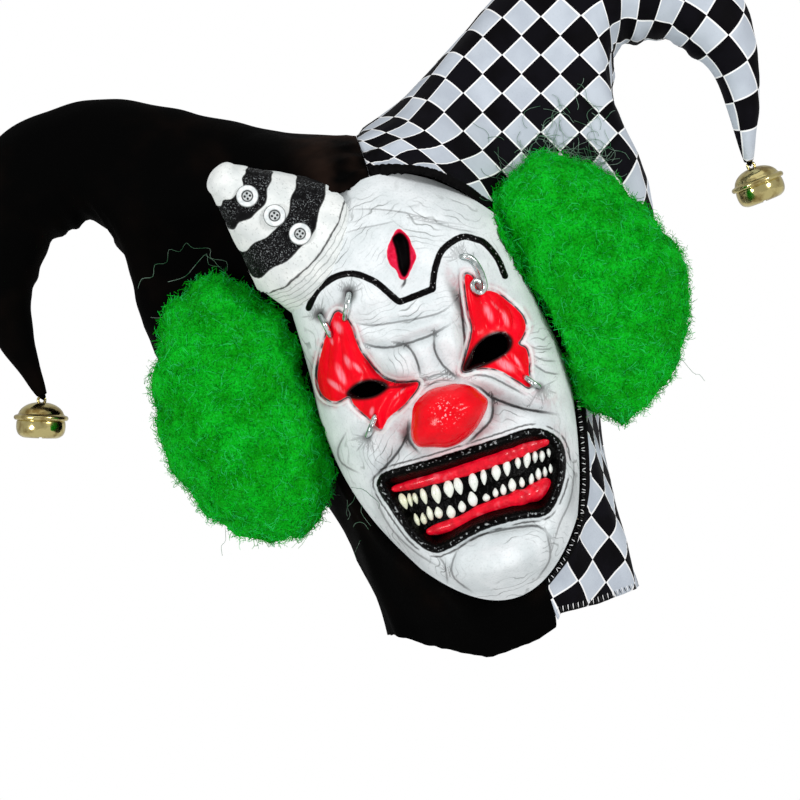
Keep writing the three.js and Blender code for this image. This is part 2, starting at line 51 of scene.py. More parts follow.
FACE_SKIRT = 21
SKIRT_ROWS = 5
# Rows from chin to hairline: height in the middle and at the sides, middle and half width across,
# depth in the middle and at the rim
FACE_ROWS = [
    (-235, -207, 3.5, 40, -81, -60),
    (-222, -192, 2.5, 47, -99, -55),
    (-203, -177, 1.5, 52.5, -103, -51),
    (-182, -162, 1, 56.5, -104, -49),
    (-158, -145, 1, 59.5, -102, -48),
    (-130, -125, 0.5, 60, -98, -49),
    (-100, -105, 0, 57.5, -97, -53),
    (-70, -85, -0.5, 56, -96, -55),
    (-44, -70, -1, 55, -89, -56),
    (-22, -60, -1, 54, -70, -57),
]
# Mounds and hollows: X, Z, half width, half height, turn in degrees, rise
MOUNDS = [
    (-28, -78, 20, 9, 8, 5.5),
    (30, -77, 20, 9, -8, 5),
    (-33, -112, 17, 17, 0, -5),
    (30, -110, 17, 17, 0, -5),
    (-16, -111, 10, 9, -25, 7),
    (12, -110, 7, 11, 10, 6.5),
    (-2, -115, 5, 13, 0, 3.5),
    (-6, -98, 24, 4, 3, 2.6),
    (-5, -89.5, 20, 3, 2, 1.4),
    (0, -125, 12, 6, 0, 3.5),
    (-44, -148, 14, 15, 25, 7),
    (45, -147, 14, 14, -25, 7),
    (27, -137, 14, 5, -35, 2.5),
    (53, -126, 7, 9, 15, 3),
    (3.5, -217, 22, 12, 0, 8),
    (3, -204, 30, 4, 0, -3),
    (15, -151, 9, 6, -15, 2.5),
    (-20, -152, 8, 6, 15, 2.5),
    (-38, -196, 9, 12, 20, 2),
    (44, -194, 8, 12, -20, 2),
]
# Creases: depth, half width, painted shade from 0 to 1, partly airbrush, and the points that each one passes
CREASES = [
    (2.2, 1.9, 0.6, [(-32, -84.5), (-22.5, -89.7), (-11.7, -92), (2.3, -94), (12.7, -94.3), (21, -90.6)]),
    (2.9, 1.9, 0.8,
     [(-32, -94), (-22.9, -100.4), (-15.3, -102.9), (-5.1, -103.6), (5.7, -103), (17, -100.4)]),
    (3, 2, 1, [(-29, -97), (-27.6, -106.7), (-24.9, -112.8), (-20.2, -117.6), (-13.1, -121.5), (-5, -121.6)]),
    (2, 1.4, 0.8, [(-7.5, -122), (-6.5, -113), (-8.4, -105), (-14, -101)]),
    (2, 1.4, 0.8, [(6, -102), (3.3, -109.7), (4.1, -117.2), (7.3, -123.5), (12, -128.6)]),
    (2.6, 2.3, 1, [(26.5, -76), (23.1, -89.8), (20, -102.5), (17.8, -112.3), (13.7, -121.4), (9, -129)]),
    (0.9, 0.8, 0.6, [(-10.5, -124.6), (-8.5, -123.5), (-0.6, -121.9), (7, -124.4), (11, -129)]),
    (0.7, 0.7, 0.5, [(-9, -127.4), (-0.6, -125), (8, -127.8)]),
    (2.4, 2.6, 0.9, [(-17.5, -139), (-24.8, -147.9), (-33.7, -154.4), (-47, -161)]),
    (2.6, 2.4, 1, [(12, -129), (18, -134.7), (21.5, -140.1), (27.2, -145.1), (35.7, -151.1), (51, -159)]),
    (1.8, 1.6, 0.8,
     [(-19, -204.6), (-9.3, -201.9), (-1.8, -201.2), (13.4, -203), (23.8, -206), (28.5, -214)]),
    (1.3, 1.5, 0.6, [(-15, -202.6), (-21.1, -210.1), (-21.9, -217.2), (-15, -227)]),
    (1.2, 1.5, 0.55, [(26.5, -208), (25.7, -217), (23, -223.8), (14, -230.6)]),
    (0.8, 1.1, 0.5, [(-27, -204), (-24.5, -209), (-26, -219)]),
    (1, 1.8, 0.5, [(51, -176), (47.5, -188.6), (41.8, -199.4), (33.6, -208.2), (26, -219)]),
    (1, 1.6, 0.5, [(-46.5, -166), (-43.6, -184), (-36, -199), (-26, -211)]),
    (1.2, 1.5, 0.55, [(-48, -133.5), (-55.5, -140.9), (-55.8, -148.2), (-48.5, -156)]),
    (1.3, 1.4, 0.6, [(45.5, -131), (50, -137), (57, -140.6)]),
    (0.9, 1.1, 0.5, [(46.5, -127), (51, -131.5), (57.5, -134)]),
    (0.8, 1, 0.45, [(46.6, -122.6), (51, -126), (57.5, -127.6)]),
    (1.6, 1.5, 0.9, [(22.5, -139), (19, -149.4), (11.1, -154.4), (1.5, -158.6)]),
    (1.5, 1.6, 0.8, [(-18.5, -137), (-22, -147), (-18.5, -156)]),
    (0.8, 1.1, 0.4, [(-16.6, -33.6), (-5.1, -36.9), (8.7, -43), (22.6, -51.8), (35.2, -58.1)]),
    (0.7, 1, 0.35, [(-22.3, -44.3), (-12.8, -44.3), (-2.7, -45.6), (6, -46.4)]),
    (0.7, 0.9, 0.35, [(11, -47), (22, -53), (33, -60), (42, -64)]),
    (0.8, 0.7, 0.9, [(0.4, -71.5), (0.2, -74.6), (-0.6, -76), (-3, -77.6)]),
    (2, 1.7, 1, [(-46, -87), (-50.2, -94.1), (-54.9, -104.1), (-56, -112.1), (-52.4, -119.9), (-42, -119.6)]),
    (2, 2.2, 0.2, [(-37.3, -81), (-45.6, -97.6), (-51.5, -112)]),
    (2.2, 2.2, 0.2, [(-36, -82), (-39.5, -99.6), (-42.5, -113)]),
    (2, 2, 0.2, [(-34.5, -88.4), (-34, -101), (-32, -114)]),
    (2.2, 2.2, 0.2, [(30, -85), (31.4, -99.6), (29.5, -111)]),
    (2.2, 2.2, 0.2, [(34.5, -90.9), (38, -102), (35.5, -111)]),
    (2, 2, 0.2, [(40, -95.9), (43.5, -105.7), (40.5, -115)]),
    (1.6, 1.5, 0.2, [(-16, -122.8), (-25, -128), (-32, -137)]),
    (1.6, 1.5, 0.2, [(33, -122), (37.5, -130), (41, -140)]),
    (1.4, 1, 1, [(-30, -119.6), (-25, -120.2), (-19, -121.6), (-11, -123)]),
    (1.2, 0.9, 0.7, [(10.5, -126), (22.4, -129.8), (30, -136.6), (38.6, -146)]),
]
# Latex pulled into lines round the ends of the wire: X, Z, and the way that the lines fan out
PUCKERS = [(-43.6, -77.6, 125), (-26.8, -72, 85), (28.6, -72.4, 120), (-40.4, -140, 235), (45, -143.6, -55)]
PUCKER_LINES = 8
PUCKER_FAN = 21
PUCKER_REACH = (1, 7)
PUCKER_CREASE = (0.4, 0.5, 0.34)
# Painted shade, partly airbrush, in the hollows, and painted shadow round the pin ends: X, Z, half width,
# half height, turn in degrees, strength
SHADES = [
    (22, -96, 3, 18, 12, 0.6),
    (-30.5, -90, 3, 9, 20, 0.4),
    (-22, -146, 4, 10, 30, 0.35),
    (22, -147, 4, 6, 0, 0.4),
    (47, -168, 4, 12, 0, 0.3),
    (-46, -170, 3, 14, 0, 0.3),
    (3, -204, 28, 3, 0, 0.25),
    (-41, -196, 5, 16, 25, 0.25),
    (45, -198, 5, 14, -25, 0.25),
    (-55, -104, 3, 18, 0, 0.4),
    (-43.4, -77.8, 3.4, 3.4, 0, 1.9),
    (-27, -72.4, 3.4, 3.8, 0, 1.9),
    (-40, -139.6, 2.6, 2.6, 0, 1.6),
    (44.8, -143, 2.6, 2.6, 0, 1.6),
    (21.5, -92, 2.6, 13, 12, 0.5),
    (-32, -76, 7, 3.5, 25, 0.7),
]
# Pink blush in the white: X, Z, half width, half height, turn in degrees, strength
BLUSHES = [
    (10, -154.5, 15, 4.5, 10, 0.6),
    (24, -142, 6, 5, 0, 0.5),
    (-24, -141, 6, 6, 0, 0.45),
    (23.4, -88, 2.6, 13, 12, 0.8),
    (-30, -90, 2.4, 8, 12, 0.7),
    (-8, -124, 7, 3, 0, 0.4),
    (46, -150, 10, 5, -20, 0.3),
    (47, -172, 4, 10, 0, 0.4),
]
# Patches of fine lines: the way the lines run, then X, Z, half width and half height
HAIRLINES = [
    ("level", -6, -90, 26, 9),
    ("level", 0, -124, 12, 7),
    ("level", 52, -126, 9, 12),
    ("level", 3, -207, 26, 5),
    ("level", 3, -230, 20, 7),
    ("level", -4, -38, 26, 9),
    ("rising", -30, -46, 20, 18),
    ("rising", -12, -50, 15, 13),
    ("rising", -31, -150, 13, 10),
    ("falling", 24, -52, 26, 14),
    ("falling", 33, -150, 15, 10),
    ("falling", 24, -214, 12, 12),
    ("upright", -47, -150, 11, 17),
    ("upright", -55, -92, 8, 20),
    ("upright", 49, -182, 7, 20),
    ("upright", -42, -186, 8, 20),
    ("upright", -25, -212, 8, 12),
    ("upright", 21, -104, 5, 14),
    ("upright", -30, -72, 12, 7),
    ("upright", 36, -74, 12, 7),
    ("upright", -17, -111, 8, 8),
]
# The way the lines of each patch run, in degrees, and how far apart they are
LINES = {"level": (0, 3.4), "rising": (35, 3), "upright": (90, 2.8), "falling": (-35, 3.2)}
RED_PATCHES = [
    [(-35.3, -78.5), (-31.3, -85.6), (-30.8, -98), (-28.7, -105.6), (-24.8, -115), (-18.4, -120.1),
     (-8.9, -123.2), (-18.3, -130.5), (-27.7, -134.4), (-33.1, -138.4), (-37.1, -131.2), (-41.5, -123.4),
     (-42.6, -118.8), (-48.5, -119.2), (-52.7, -116.8), (-55, -111.4), (-53.4, -103.2), (-47.9, -93.5),
     (-42.5, -86)],
    [(28.4, -80.9), (31.5, -83.7), (31.9, -89.6), (38.9, -93), (44.5, -100.7), (48, -107.7), (48.1, -113.5),
     (44.5, -118.1), (42.1, -120.2), (44.9, -124), (44.2, -129.6), (42.5, -134.8), (40.7, -141.8),
     (36, -136.8), (29.2, -129.3), (21.7, -125.6), (12.8, -124.5), (16.8, -117.7), (23.1, -107.5),
     (24.3, -98.7), (26, -88.2)],
]
# Painted highlights on the red paint, pale streaks along the crests of its folds: X, Z, half length, half
# width, turn in degrees
RED_PAINTED_HIGHLIGHTS = [
    (33, -102, 5, 2, 95),
    (37.5, -100, 4, 0.8, 115),
    (40, -107, 4.5, 1.5, 90),
    (33, -128, 6, 2.5, 130),
    (38.5, -127, 5, 1, 110),
    (-37, -86, 4, 2, 105),
    (-42, -91, 2.5, 1, 95),
    (-38, -103, 4, 1.5, 95),
    (-34.5, -107, 4, 1.2, 115),
    (-43, -107.5, 6, 2, 95),
    (-47, -112, 6, 1.5, 125),
    (-19.5, -125, 5, 0.8, 25),
    (-34.5, -129, 2.5, 1.2, 60),
]
EYE_HOLES = [
    [(-42.6, -117.8), (-38.5, -115.2), (-33, -114.6), (-27.5, -116.4), (-24.2, -119.8), (-30.6, -122.1),
     (-38, -120.9)],
    [(14, -124.4), (18.5, -118.6), (24.6, -114.2), (31, -112.4), (36.6, -113.4), (39, -117.4), (36.6, -121.2),
     (31, -123.2), (22.5, -124.4)],
]
GASH = [(4.9, -50.2), (0.2, -53.8), (-3.6, -58.7), (-4.5, -64.6), (-2.4, -68.6), (-2, -72.7), (-0.9, -74.1),
        (1.5, -73.8), (5.9, -69.1), (8.9, -65.4), (8.5, -59.6), (8.2, -55.1)]
SLIT = [(0.9, -53.8), (5, -52.5), (7.2, -56.6), (6.4, -62.5), (4.1, -69.3), (0.4, -72.7), (-0.6, -68.5),
        (0.2, -63.1), (0.8, -58.1)]
BROW_LINE = [(-47.6, -72.4), (-43, -67.5), (-38.9, -64.9), (-31.5, -62.6), (-24, -63.2), (-18.5, -66.2),
             (-13, -71.6), (-9.3, -77.6), (-6.6, -82.2), (-5.4, -83.4), (-4, -83.6), (3.2, -83.2),
             (9.6, -82.8), (11.4, -82.6), (12, -81), (13.6, -77.4), (16.6, -72.2), (22.1, -66.2),
             (32.1, -63.4), (38.5, -66.5), (42.4, -70.4), (45.5, -78.7), (46.2, -87.5)]
BROW_INK = 1.6
MOUTH_RIM = [(1.7, -199.2), (-10, -200.6), (-19.7, -202.7), (-28.1, -202), (-35.6, -192.4), (-41.1, -175.4),
             (-43.5, -165), (-41.5, -160), (-35.3, -158.1), (-10.4, -159.3), (19.8, -159.7), (34.8, -160.1),
             (43.3, -164.9), (47.3, -172.8), (44.9, -184.6), (36.3, -197), (28.4, -202), (16.5, -200)]
# How far each feature stands out of the face or is sunk in it
MOUTH_DEPTH = 8
LIP_ROLL = 2.3
LIP_GROOVE = 0.8
POUCH_RISE = 2.2
POUCH_EDGE = 1.5
GASH_RISE = 1.5
SLIT_DEPTH = 3.4
BROW_RISE = 1.0
CREASE_DEEP = 0.85
CREASE_PUFF = 0.4
RIM_STEPS = 41


def through(a, b, c, d, f):
    """Smooth step from b to c, with a before and d after them."""
    return b + 0.5 * f * (c - a + f * (2 * a - 5 * b + 4 * c - d + f * (3 * (b - c) + d - a)))


def along(rows, t):
    """Rows of a table part way along it, smooth through every row."""
    rows = np.asarray(rows, float)
    last = len(rows) - 1
    place = np.clip(t, 0, 1) * last
    i = np.minimum(place.astype(int), last - 1)
    near = [rows[np.clip(i + k, 0, last)] for k in (-1, 0, 1, 2)]
    return through(*near, (place - i)[..., None])


def smooth_line(points, closed=False, steps=5):
    """A smooth line through a few points, as short straight pieces."""
    points = np.asarray(points, float)
    count = len(points)
    spans = count if closed else count - 1
    place = np.arange(spans * steps + (not closed)) / steps
    i = np.minimum(place.astype(int), spans - 1)
    near = [(i + k) % count if closed else np.clip(i + k, 0, count - 1) for k in (-1, 0, 1, 2)]
    return through(*[points[k] for k in near], (place - i)[:, None])


def distance(x, z, line, closed=False):
    """Distance to a line, negative inside a closed one, the way along it, and the side of it."""
    ends = np.roll(line, -1, axis=0) if closed else line[1:]
    best = np.full(np.shape(x), 1e6)
    arc = np.zeros(np.shape(x))
    side = np.ones(np.shape(x))
    inside = np.zeros(np.shape(x), bool)
    walked = 0
    for (ax, az), (bx, bz) in zip(line, ends):
        dx, dz = bx - ax, bz - az
        long = math.hypot(dx, dz) + 1e-9
        share = np.clip(((x - ax) * dx + (z - az) * dz) / long**2, 0, 1)
        away = np.hypot(x - ax - share * dx, z - az - share * dz)
        arc = np.where(away < best, walked + share * long, arc)
        side = np.where(away < best, np.sign(dx * (z - az) - dz * (x - ax)), side)
        best = np.minimum(best, away)
        walked += long
        if closed and dz:
            inside ^= ((az > z) != (bz > z)) & (x < ax + (z - az) * dx / dz)
    return np.where(inside, -best, best), arc, side


def to_edge(x, z, *outlines):
    """Distance to the nearest of some closed outlines, negative inside one."""
    return np.min([distance(x, z, line, True)[0] for line in outlines], axis=0)


def ridge(value, middle, half):
    """1 at a middle value, falling away over about a half width."""
    return np.exp(-(((value - middle) / half) ** 2))


def smoothstep(value, low, high):
    """0 below low, 1 above high, smooth between."""
    t = np.clip((value - low) / (high - low), 0, 1)
    return t * t * (3 - 2 * t)


def ripple(points, size, seed):
    """Soft waves of about the given size, from -1 to 1, the same each run."""
    draw = np.random.default_rng(seed)
    total = np.zeros(points.shape[:-1])
    for _ in range(7):
        direction = draw.normal(size=3)
        direction *= draw.uniform(0.7, 1.4) * 2 * math.pi / size / np.linalg.norm(direction)
        total += np.sin(points @ direction + draw.uniform(0, 2 * math.pi))
    return total / 4


def spot(x, z, cx, cz, wide, tall, turn=0):
    """A soft round spot, 1 in its middle."""
    c, s = math.cos(math.radians(turn)), math.sin(math.radians(turn))
    a, b = (x - cx) * c + (z - cz) * s, (z - cz) * c - (x - cx) * s
    return np.exp(-1.4 * ((a / wide) ** 2 + (b / tall) ** 2))


red_lines = [smooth_line(points, True) for points in RED_PATCHES]
eye_lines = [smooth_line(points, True, 8) for points in EYE_HOLES]
gash_line = smooth_line(GASH, True, 4)
slit_line = smooth_line(SLIT, True, 4)
brow_line = smooth_line(BROW_LINE, steps=4)
mouth_line = smooth_line(MOUTH_RIM, True)
crease_lines = [(*sizes, smooth_line(points, steps=4)) for *sizes, points in CREASES]
for px, pz, way in PUCKERS:
    for turn in np.radians(way + PUCKER_FAN * (np.arange(PUCKER_LINES) - PUCKER_LINES // 2)):
        reach = np.linspace(*PUCKER_REACH, 4) * (1 + 0.35 * math.sin(7 * turn))
        line = np.stack([px + reach * math.cos(turn), pz + reach * math.sin(turn)], 1)
        crease_lines.append((*PUCKER_CREASE, line))


def crease_at(x, z, line):
    """Distance to a crease, its strength, which fades towards its ends, and the side it lies on."""
    away, arc, side = distance(x, z, line)
    long = np.hypot(*np.diff(line, axis=0).T).sum()
    return away, smoothstep(np.minimum(arc, long - arc), -0.03 * long, 0.25 * long), side


def face_relief(x, z):
    """Height of the sculpted features above the plain curve of the face."""
    rise = sum(high * spot(x, z, *place) for *place, high in MOUNDS)
    for depth, width, _, line in crease_lines:
        away, strength, _ = crease_at(x, z, line)
        groove = 0.5 * ridge(away, 0, width) + 0.5 * np.exp(-away / (0.45 * width))
        puff = CREASE_PUFF * ridge(away, 2.3 * width, 1.1 * width)
        rise -= CREASE_DEEP * depth * strength * (groove - puff)
    within = -to_edge(x, z, mouth_line)
    rise -= MOUTH_DEPTH * smoothstep(within, 3.2, 9)
    rise += LIP_ROLL * ridge(within, 2, 2.6) - LIP_GROOVE * ridge(within, -1.5, 0.8)
    red = -to_edge(x, z, *red_lines)
    rise += POUCH_RISE * smoothstep(red, 0, 7) - POUCH_EDGE * ridge(red, 0, 1.1)
    gash = -to_edge(x, z, gash_line)
    rise += GASH_RISE * (ridge(gash, 0, 1.6) - smoothstep(gash, 0, 2))
    rise -= SLIT_DEPTH * smoothstep(-to_edge(x, z, slit_line), -0.3, 1.2)
    rise += BROW_RISE * smoothstep(BROW_INK - distance(x, z, brow_line)[0], -0.5, 0.8)
    return rise


def face_points(u, v):
    """Points of the skin, u across from -1 to 1 and v up from 0 to 1."""
    z_mid, z_side, mid, half, profile, rim = np.moveaxis(along(FACE_ROWS, v), -1, 0)
    x = mid + half * u
    z = z_mid + (z_side - z_mid) * u * u
    fade = np.minimum(1, 4 * (1 - np.abs(u))) * np.clip(np.minimum(8 * v, 8 * (1 - v)), 0, 1)
    y = profile + (rim - profile) * (1 - np.sqrt(np.maximum(0, 1 - u * u))) - fade * face_relief(x, z)
    return np.stack([x, y, z], -1)


rim_u = np.linspace(-1, 1, RIM_STEPS)
rim_v = np.linspace(0, 1, RIM_STEPS)[1:-1]
rim_sides = [(rim_u, 0 * rim_u), (0 * rim_v + 1, rim_v),
             (rim_u[::-1], 0 * rim_u + 1), (0 * rim_v - 1, rim_v[::-1])]
face_rim = np.concatenate([face_points(*side) for side in rim_sides])[:, [0, 2]]


def trimmed(points, keep, wraps=False):
    """Corners and faces of a grid where keep is positive, its rim slid to where keep is nothing."""
    rows, columns = keep.shape
    index = np.arange(rows * columns).reshape(rows, columns)
    upper = np.roll(index, -1, 0) if wraps else index[1:]
    lower = index if wraps else index[:-1]
    faces = np.stack([lower[:, :-1], lower[:, 1:], upper[:, 1:], upper[:, :-1]], -1).reshape(-1, 4)
    level = keep.ravel()
    faces = faces[(level[faces] > 0).any(1)]
    spots = points.reshape(-1, points.shape[-1]).copy()
    used = np.zeros(rows * columns, bool)
    used[faces] = True
    late = used & (level <= 0)
    for pairs in ((0, 1), (1, 2), (2, 3), (3, 0)), ((0, 2), (1, 3)):
        slid = np.zeros_like(spots)
        count = np.zeros(len(spots))
        for m, n in pairs:
            for p, q in (faces[:, m], faces[:, n]), (faces[:, n], faces[:, m]):
                edge = late[p] & (level[q] > 0)
                a, b = p[edge], q[edge]
                share = (level[a] / (level[a] - level[b]))[:, None]
                np.add.at(slid, a, spots[a] + (spots[b] - spots[a]) * share)
                np.add.at(count, a, 1)
        found = count > 0
        spots[found] = slid[found] / count[found, None]
        late &= ~found
    place = np.full(rows * columns, -1)
    place[used] = np.arange(used.sum())
    return spots[used], place[faces], place.reshape(rows, columns)


def made(name, points, faces, *materials):
    """A smooth mesh object from corners in millimetres."""
    mesh = bpy.data.meshes.new(name)
    mesh.from_pydata((np.asarray(points)[:, :3] * MM).tolist(), [], [list(map(int, face)) for face in faces])
    mesh.polygons.foreach_set("use_smooth", [True] * len(mesh.polygons))
    for material in materials:
        mesh.materials.append(material)
    piece = bpy.data.objects.new(name, mesh)
    bpy.context.scene.collection.objects.link(piece)
    return piece


def mark(piece, name, values):
    """Keep a value, or a vector, for each corner."""
    values = np.asarray(values, np.float32)
    kind, field = ("FLOAT", "value") if values.ndim == 1 else ("FLOAT_VECTOR", "vector")
    piece.data.attributes.new(name, kind, "POINT").data.foreach_set(field, values.ravel())


def settled(piece):
    """The piece with its modifiers made part of its mesh."""
    bpy.context.view_layer.update()
    mesh = bpy.data.meshes.new_from_object(piece.evaluated_get(bpy.context.evaluated_depsgraph_get()))
    piece.modifiers.clear()
    piece.data = mesh
    return piece


def thickened(piece, wall):
    """The piece as a wall that grows inwards, its inner side in the last material."""
    solid = piece.modifiers.new("wall", "SOLIDIFY")
    solid.thickness = wall * MM
    solid.offset = -1
    solid.material_offset = len(piece.data.materials) - 1
    return settled(piece)


def worn(piece, slot, *nodes):
    """The piece rides on the mask and stands for the CAD nodes, which it hides. The slot is not used."""
    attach(piece, "root")
    if nodes:
        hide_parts(*nodes)
    return piece


def colour(code):
    """Linear colour from a six-figure screen colour."""
    parts = [int(code[k:k + 2], 16) / 255 for k in (0, 2, 4)]
    return (*[p / 12.92 if p < 0.04045 else ((p + 0.055) / 1.055) ** 2.4 for p in parts], 1)


class Shade:
    """A socket in a node tree. Arithmetic adds Math nodes, and node() adds any other node."""

    def __init__(self, tree, socket=None):
        self.tree = tree
        self.socket = socket

    def join(self, value, socket):
        if isinstance(value, Shade):
            self.tree.links.new(value.socket, socket)
        else:
            socket.default_value = value

    def node(self, kind, settings=None, sockets=None, out=0):
        added = self.tree.nodes.new(kind)
        for name, value in (settings or {}).items():
            setattr(added, name, value)
        for name, value in (sockets or {}).items():
            self.join(value, added.inputs[name])
        return Shade(self.tree, added.outputs[out])

    def math(self, operation, *values):
        return self.node("ShaderNodeMath", {"operation": operation}, dict(enumerate(values)))

    def __add__(self, other):
        return self.math("ADD", self, other)

    def __sub__(self, other):
        return self.math("SUBTRACT", self, other)

    def __rsub__(self, other):
        return self.math("SUBTRACT", other, self)

    def __mul__(self, other):
        return self.math("MULTIPLY", self, other)

    __radd__ = __add__
    __rmul__ = __mul__

    def between(self, low, high):
        """0 below low, 1 above high, smooth between."""
        return self.node("ShaderNodeMapRange", {"interpolation_type": "SMOOTHSTEP"},
                         {"Value": self, "From Min": low, "From Max": high})

    def below(self, low, high):
        """1 below low, 0 above high, smooth between."""
        return 1 - self.between(low, high)

    def mix(self, first, second):
        """A colour from first to second by this value."""
        return self.node("ShaderNodeMix", {"data_type": "RGBA"}, {0: self, 6: first, 7: second}, 2)

    def value(self, name):
        """A value kept on the piece."""
        return self.node("ShaderNodeAttribute", {"attribute_name": name}, out="Fac")

    def near(self, middle, inner, outer):
        """1 within inner of a middle value, 0 past outer, smooth between."""
        return self.math("ABSOLUTE", self - middle).below(inner, outer)

    def place(self):
        return self.node("ShaderNodeTexCoord", out="Object")

    def part(self, axis):
        """One coordinate of the place, in metres."""
        return self.node("ShaderNodeSeparateXYZ", None, {"Vector": self.place()}, axis)

    def noise(self, size, detail=2.0):
        """Cloudy noise of about a size in millimetres, from 0 to 1."""
        return self.node("ShaderNodeTexNoise", None,
                         {"Vector": self.place(), "Scale": 1 / (size * MM), "Detail": detail})

    def clouds(self, size, first, second):
        """A colour that drifts between two, in clouds of about a size in millimetres."""
        return self.noise(size, 3).between(0.33, 0.67).mix(colour(first), colour(second))


def finish(name, **fixed):
    """A new material with fixed values on its shader, a Shade to paint with, and the shader's sockets."""
    material = bpy.data.materials.new(name)
    material.use_nodes = True
    sockets = material.node_tree.nodes["Principled BSDF"].inputs
    for socket, value in fixed.items():
        sockets[socket.replace("_", " ")].default_value = value
    return material, Shade(material.node_tree), sockets


def raise_skin(paint, sockets, height, depth, strength=1.0):
    """Fine relief of a depth in millimetres."""
    normal = paint.node("ShaderNodeBump", None,
                        {"Strength": strength, "Distance": depth * MM, "Height": height})
    paint.join(normal, sockets["Normal"])


def hairline(paint, turn, apart):
    """Thin broken wrinkles side by side, all running one way across the face."""
    turn = math.radians(turn)
    across = paint.part("Z") * math.cos(turn) - paint.part("X") * math.sin(turn)
    phase = across * (1 / (apart * MM)) + paint.noise(15, 1) * 4 + paint.noise(5, 1) * 0.7
    return paint.math("FRACT", phase).near(0.5, 0.02, 0.13) * paint.noise(14, 2).between(0.36, 0.6)


def streaks(paint, turn, wide, long):
    """Noise drawn out one way across the face, from 0 to 1."""
    place = paint.node("ShaderNodeMapping", {"vector_type": "TEXTURE"},
                       {"Vector": paint.place(), "Rotation": (0, -math.radians(turn), 0),
                        "Scale": (long * MM, long * MM, wide * MM)})
    return paint.node("ShaderNodeTexNoise", None, {"Vector": place, "Scale": 1.0, "Detail": 2.0})


painted_latex, paint, sockets = finish("painted_latex", Specular_IOR_Level=0.05, Coat_Roughness=0.2)
grain = paint.noise(1.1, 3)
edge = (paint.noise(2.2, 3) - 0.5) * 0.9
lines = 0
for name, (turn, apart) in LINES.items():
    lines = paint.value(name) * hairline(paint, turn, apart) + lines
shade = paint.value("shade")
# Painted shade: dark lines down the creases
groove = paint.math("ABSOLUTE", paint.value("groove") + (paint.noise(2.5, 2) - 0.5) * 0.8)
groove = groove.below(0.3, 1.15) * paint.value("ink_and_shade") * paint.value("near").below(1.8, 2.6)
red = paint.value("red") + edge * 0.6
gash = paint.value("gash") + edge * 0.7
slit = paint.value("slit") + edge * 0.5
mouth = paint.value("mouth") + edge
brow = paint.value("brow") + edge * 0.5
red_on = red.below(-0.25, 0.25)
mouth_on = mouth.below(-0.3, 0.2)
brow_on = brow.below(-0.2, 0.2)
skin = paint.clouds(12, "e9eef0", "dae1e3")
skin = (grain.between(0.5, 0.72) * 0.22).mix(skin, colour("a9b0ae"))
# Painted shade: thin dark lines in the fine wrinkles
skin = (lines * 0.72).mix(skin, colour("6c726f"))
# Grey painted shade, partly airbrush, in the hollows and creases and towards the rim
skin = (shade.between(0.04, 1.05) * 0.74).mix(skin, paint.clouds(7, "585d59", "686063"))
skin = (paint.value("blush") * paint.noise(4, 3).between(0.3, 0.65)).mix(skin, colour("b97c84"))
# Painted shadow round the ends of the pins
skin = (shade.between(0.95, 1.8) * 0.9).mix(skin, colour("171110"))
# Dark lines of painted shade down the creases
skin = (groove * 0.95).mix(skin, colour("151112"))
skin = (red.below(0, 5) * paint.noise(5, 3).between(0.4, 0.62) * 0.7).mix(skin, colour("c8606e"))
skin = (red.near(1.9, 0.3, 0.9) * 0.7).mix(skin, colour("eef2f1"))
red_paint = streaks(paint, 80, 3.5, 14).between(0.36, 0.64).mix(colour("ff0020"), colour("ee0019"))
# Painted highlight: pale streaks on the crests of the red folds
painted_highlight = paint.value("painted_highlight").between(0.1, 0.8) * streaks(paint, 78, 2, 9).between(0.3, 0.55)
red_paint = (painted_highlight * 0.75).mix(red_paint, colour("ff98a6"))
# Painted shade on the red: darker in the hollows, with dark red lines down the creases
red_paint = (shade.between(0.08, 0.8) * 0.5).mix(red_paint, colour("9a0216"))
red_paint = (groove * 0.6).mix(red_paint, colour("4a0208"))
# Painted shade: the red turns nearly black at the edges of the eye holes
red_paint = paint.value("hole").below(0.3, 2.2).mix(red_paint, colour("1d0406"))
skin = red_on.mix(skin, red_paint)
outline = red.near(0.35, 0.15, 0.6) * paint.noise(9, 2).between(0.36, 0.5)
skin = (outline * 0.9).mix(skin, colour("171012"))
skin = gash.below(-0.2, 0.3).mix(skin, paint.clouds(3, "f02c54", "dc1038"))
skin = slit.below(-0.1, 0.9).mix(skin, colour("42030b"))
skin = slit.below(-0.4, 0.1).mix(skin, colour("050304"))
# Pale specks in the black brow line: partly worn paint, partly painted highlight
worn_ink_and_glints = paint.noise(1.5, 3).between(0.63, 0.68) * 0.7
skin = brow_on.mix(skin, worn_ink_and_glints.mix(colour("060506"), colour("b0b0b0")))
# Painted shade: a broken dark line in the groove round the lips
lip_edge = mouth.near(1.7, 0.15, 0.7) * paint.noise(9, 2).between(0.35, 0.48)
skin = (lip_edge * 0.8).mix(skin, colour("2c2827"))
glint = mouth.near(-1.9, 0.4, 1.2) * paint.noise(1.6, 3).between(0.57, 0.64)
skin = mouth_on.mix(skin, (glint * 0.6).mix(colour("010101"), colour("c4cacb")))
paint.join(skin, sockets["Base Color"])
gloss = paint.math("MAXIMUM", red_on, paint.math("MAXIMUM", mouth_on, brow_on))
paint.join(red_on * 0.12, sockets["Coat Weight"])
paint.join(0.58 - gloss * 0.32 + grain * 0.1, sockets["Roughness"])
lip_lines = paint.math("SINE", paint.value("lip") * 1.7 + paint.noise(5, 2) * 14) * mouth.below(-6, 0)
height = paint.noise(0.7, 2) * 0.25 + grain * 0.35 - lines * 0.8 + lip_lines * 0.25
height = height + mouth_on * paint.noise(1.6, 2) - groove * 0.8
raise_skin(paint, sockets, height, 0.5, 0.75)

latex_inside, paint, sockets = finish("latex_inside", Roughness=0.6)
paint.join(paint.clouds(9, "b9ad94", "cfc6b2"), sockets["Base Color"])
raise_skin(paint, sockets, paint.noise(1.5, 3), 0.3)

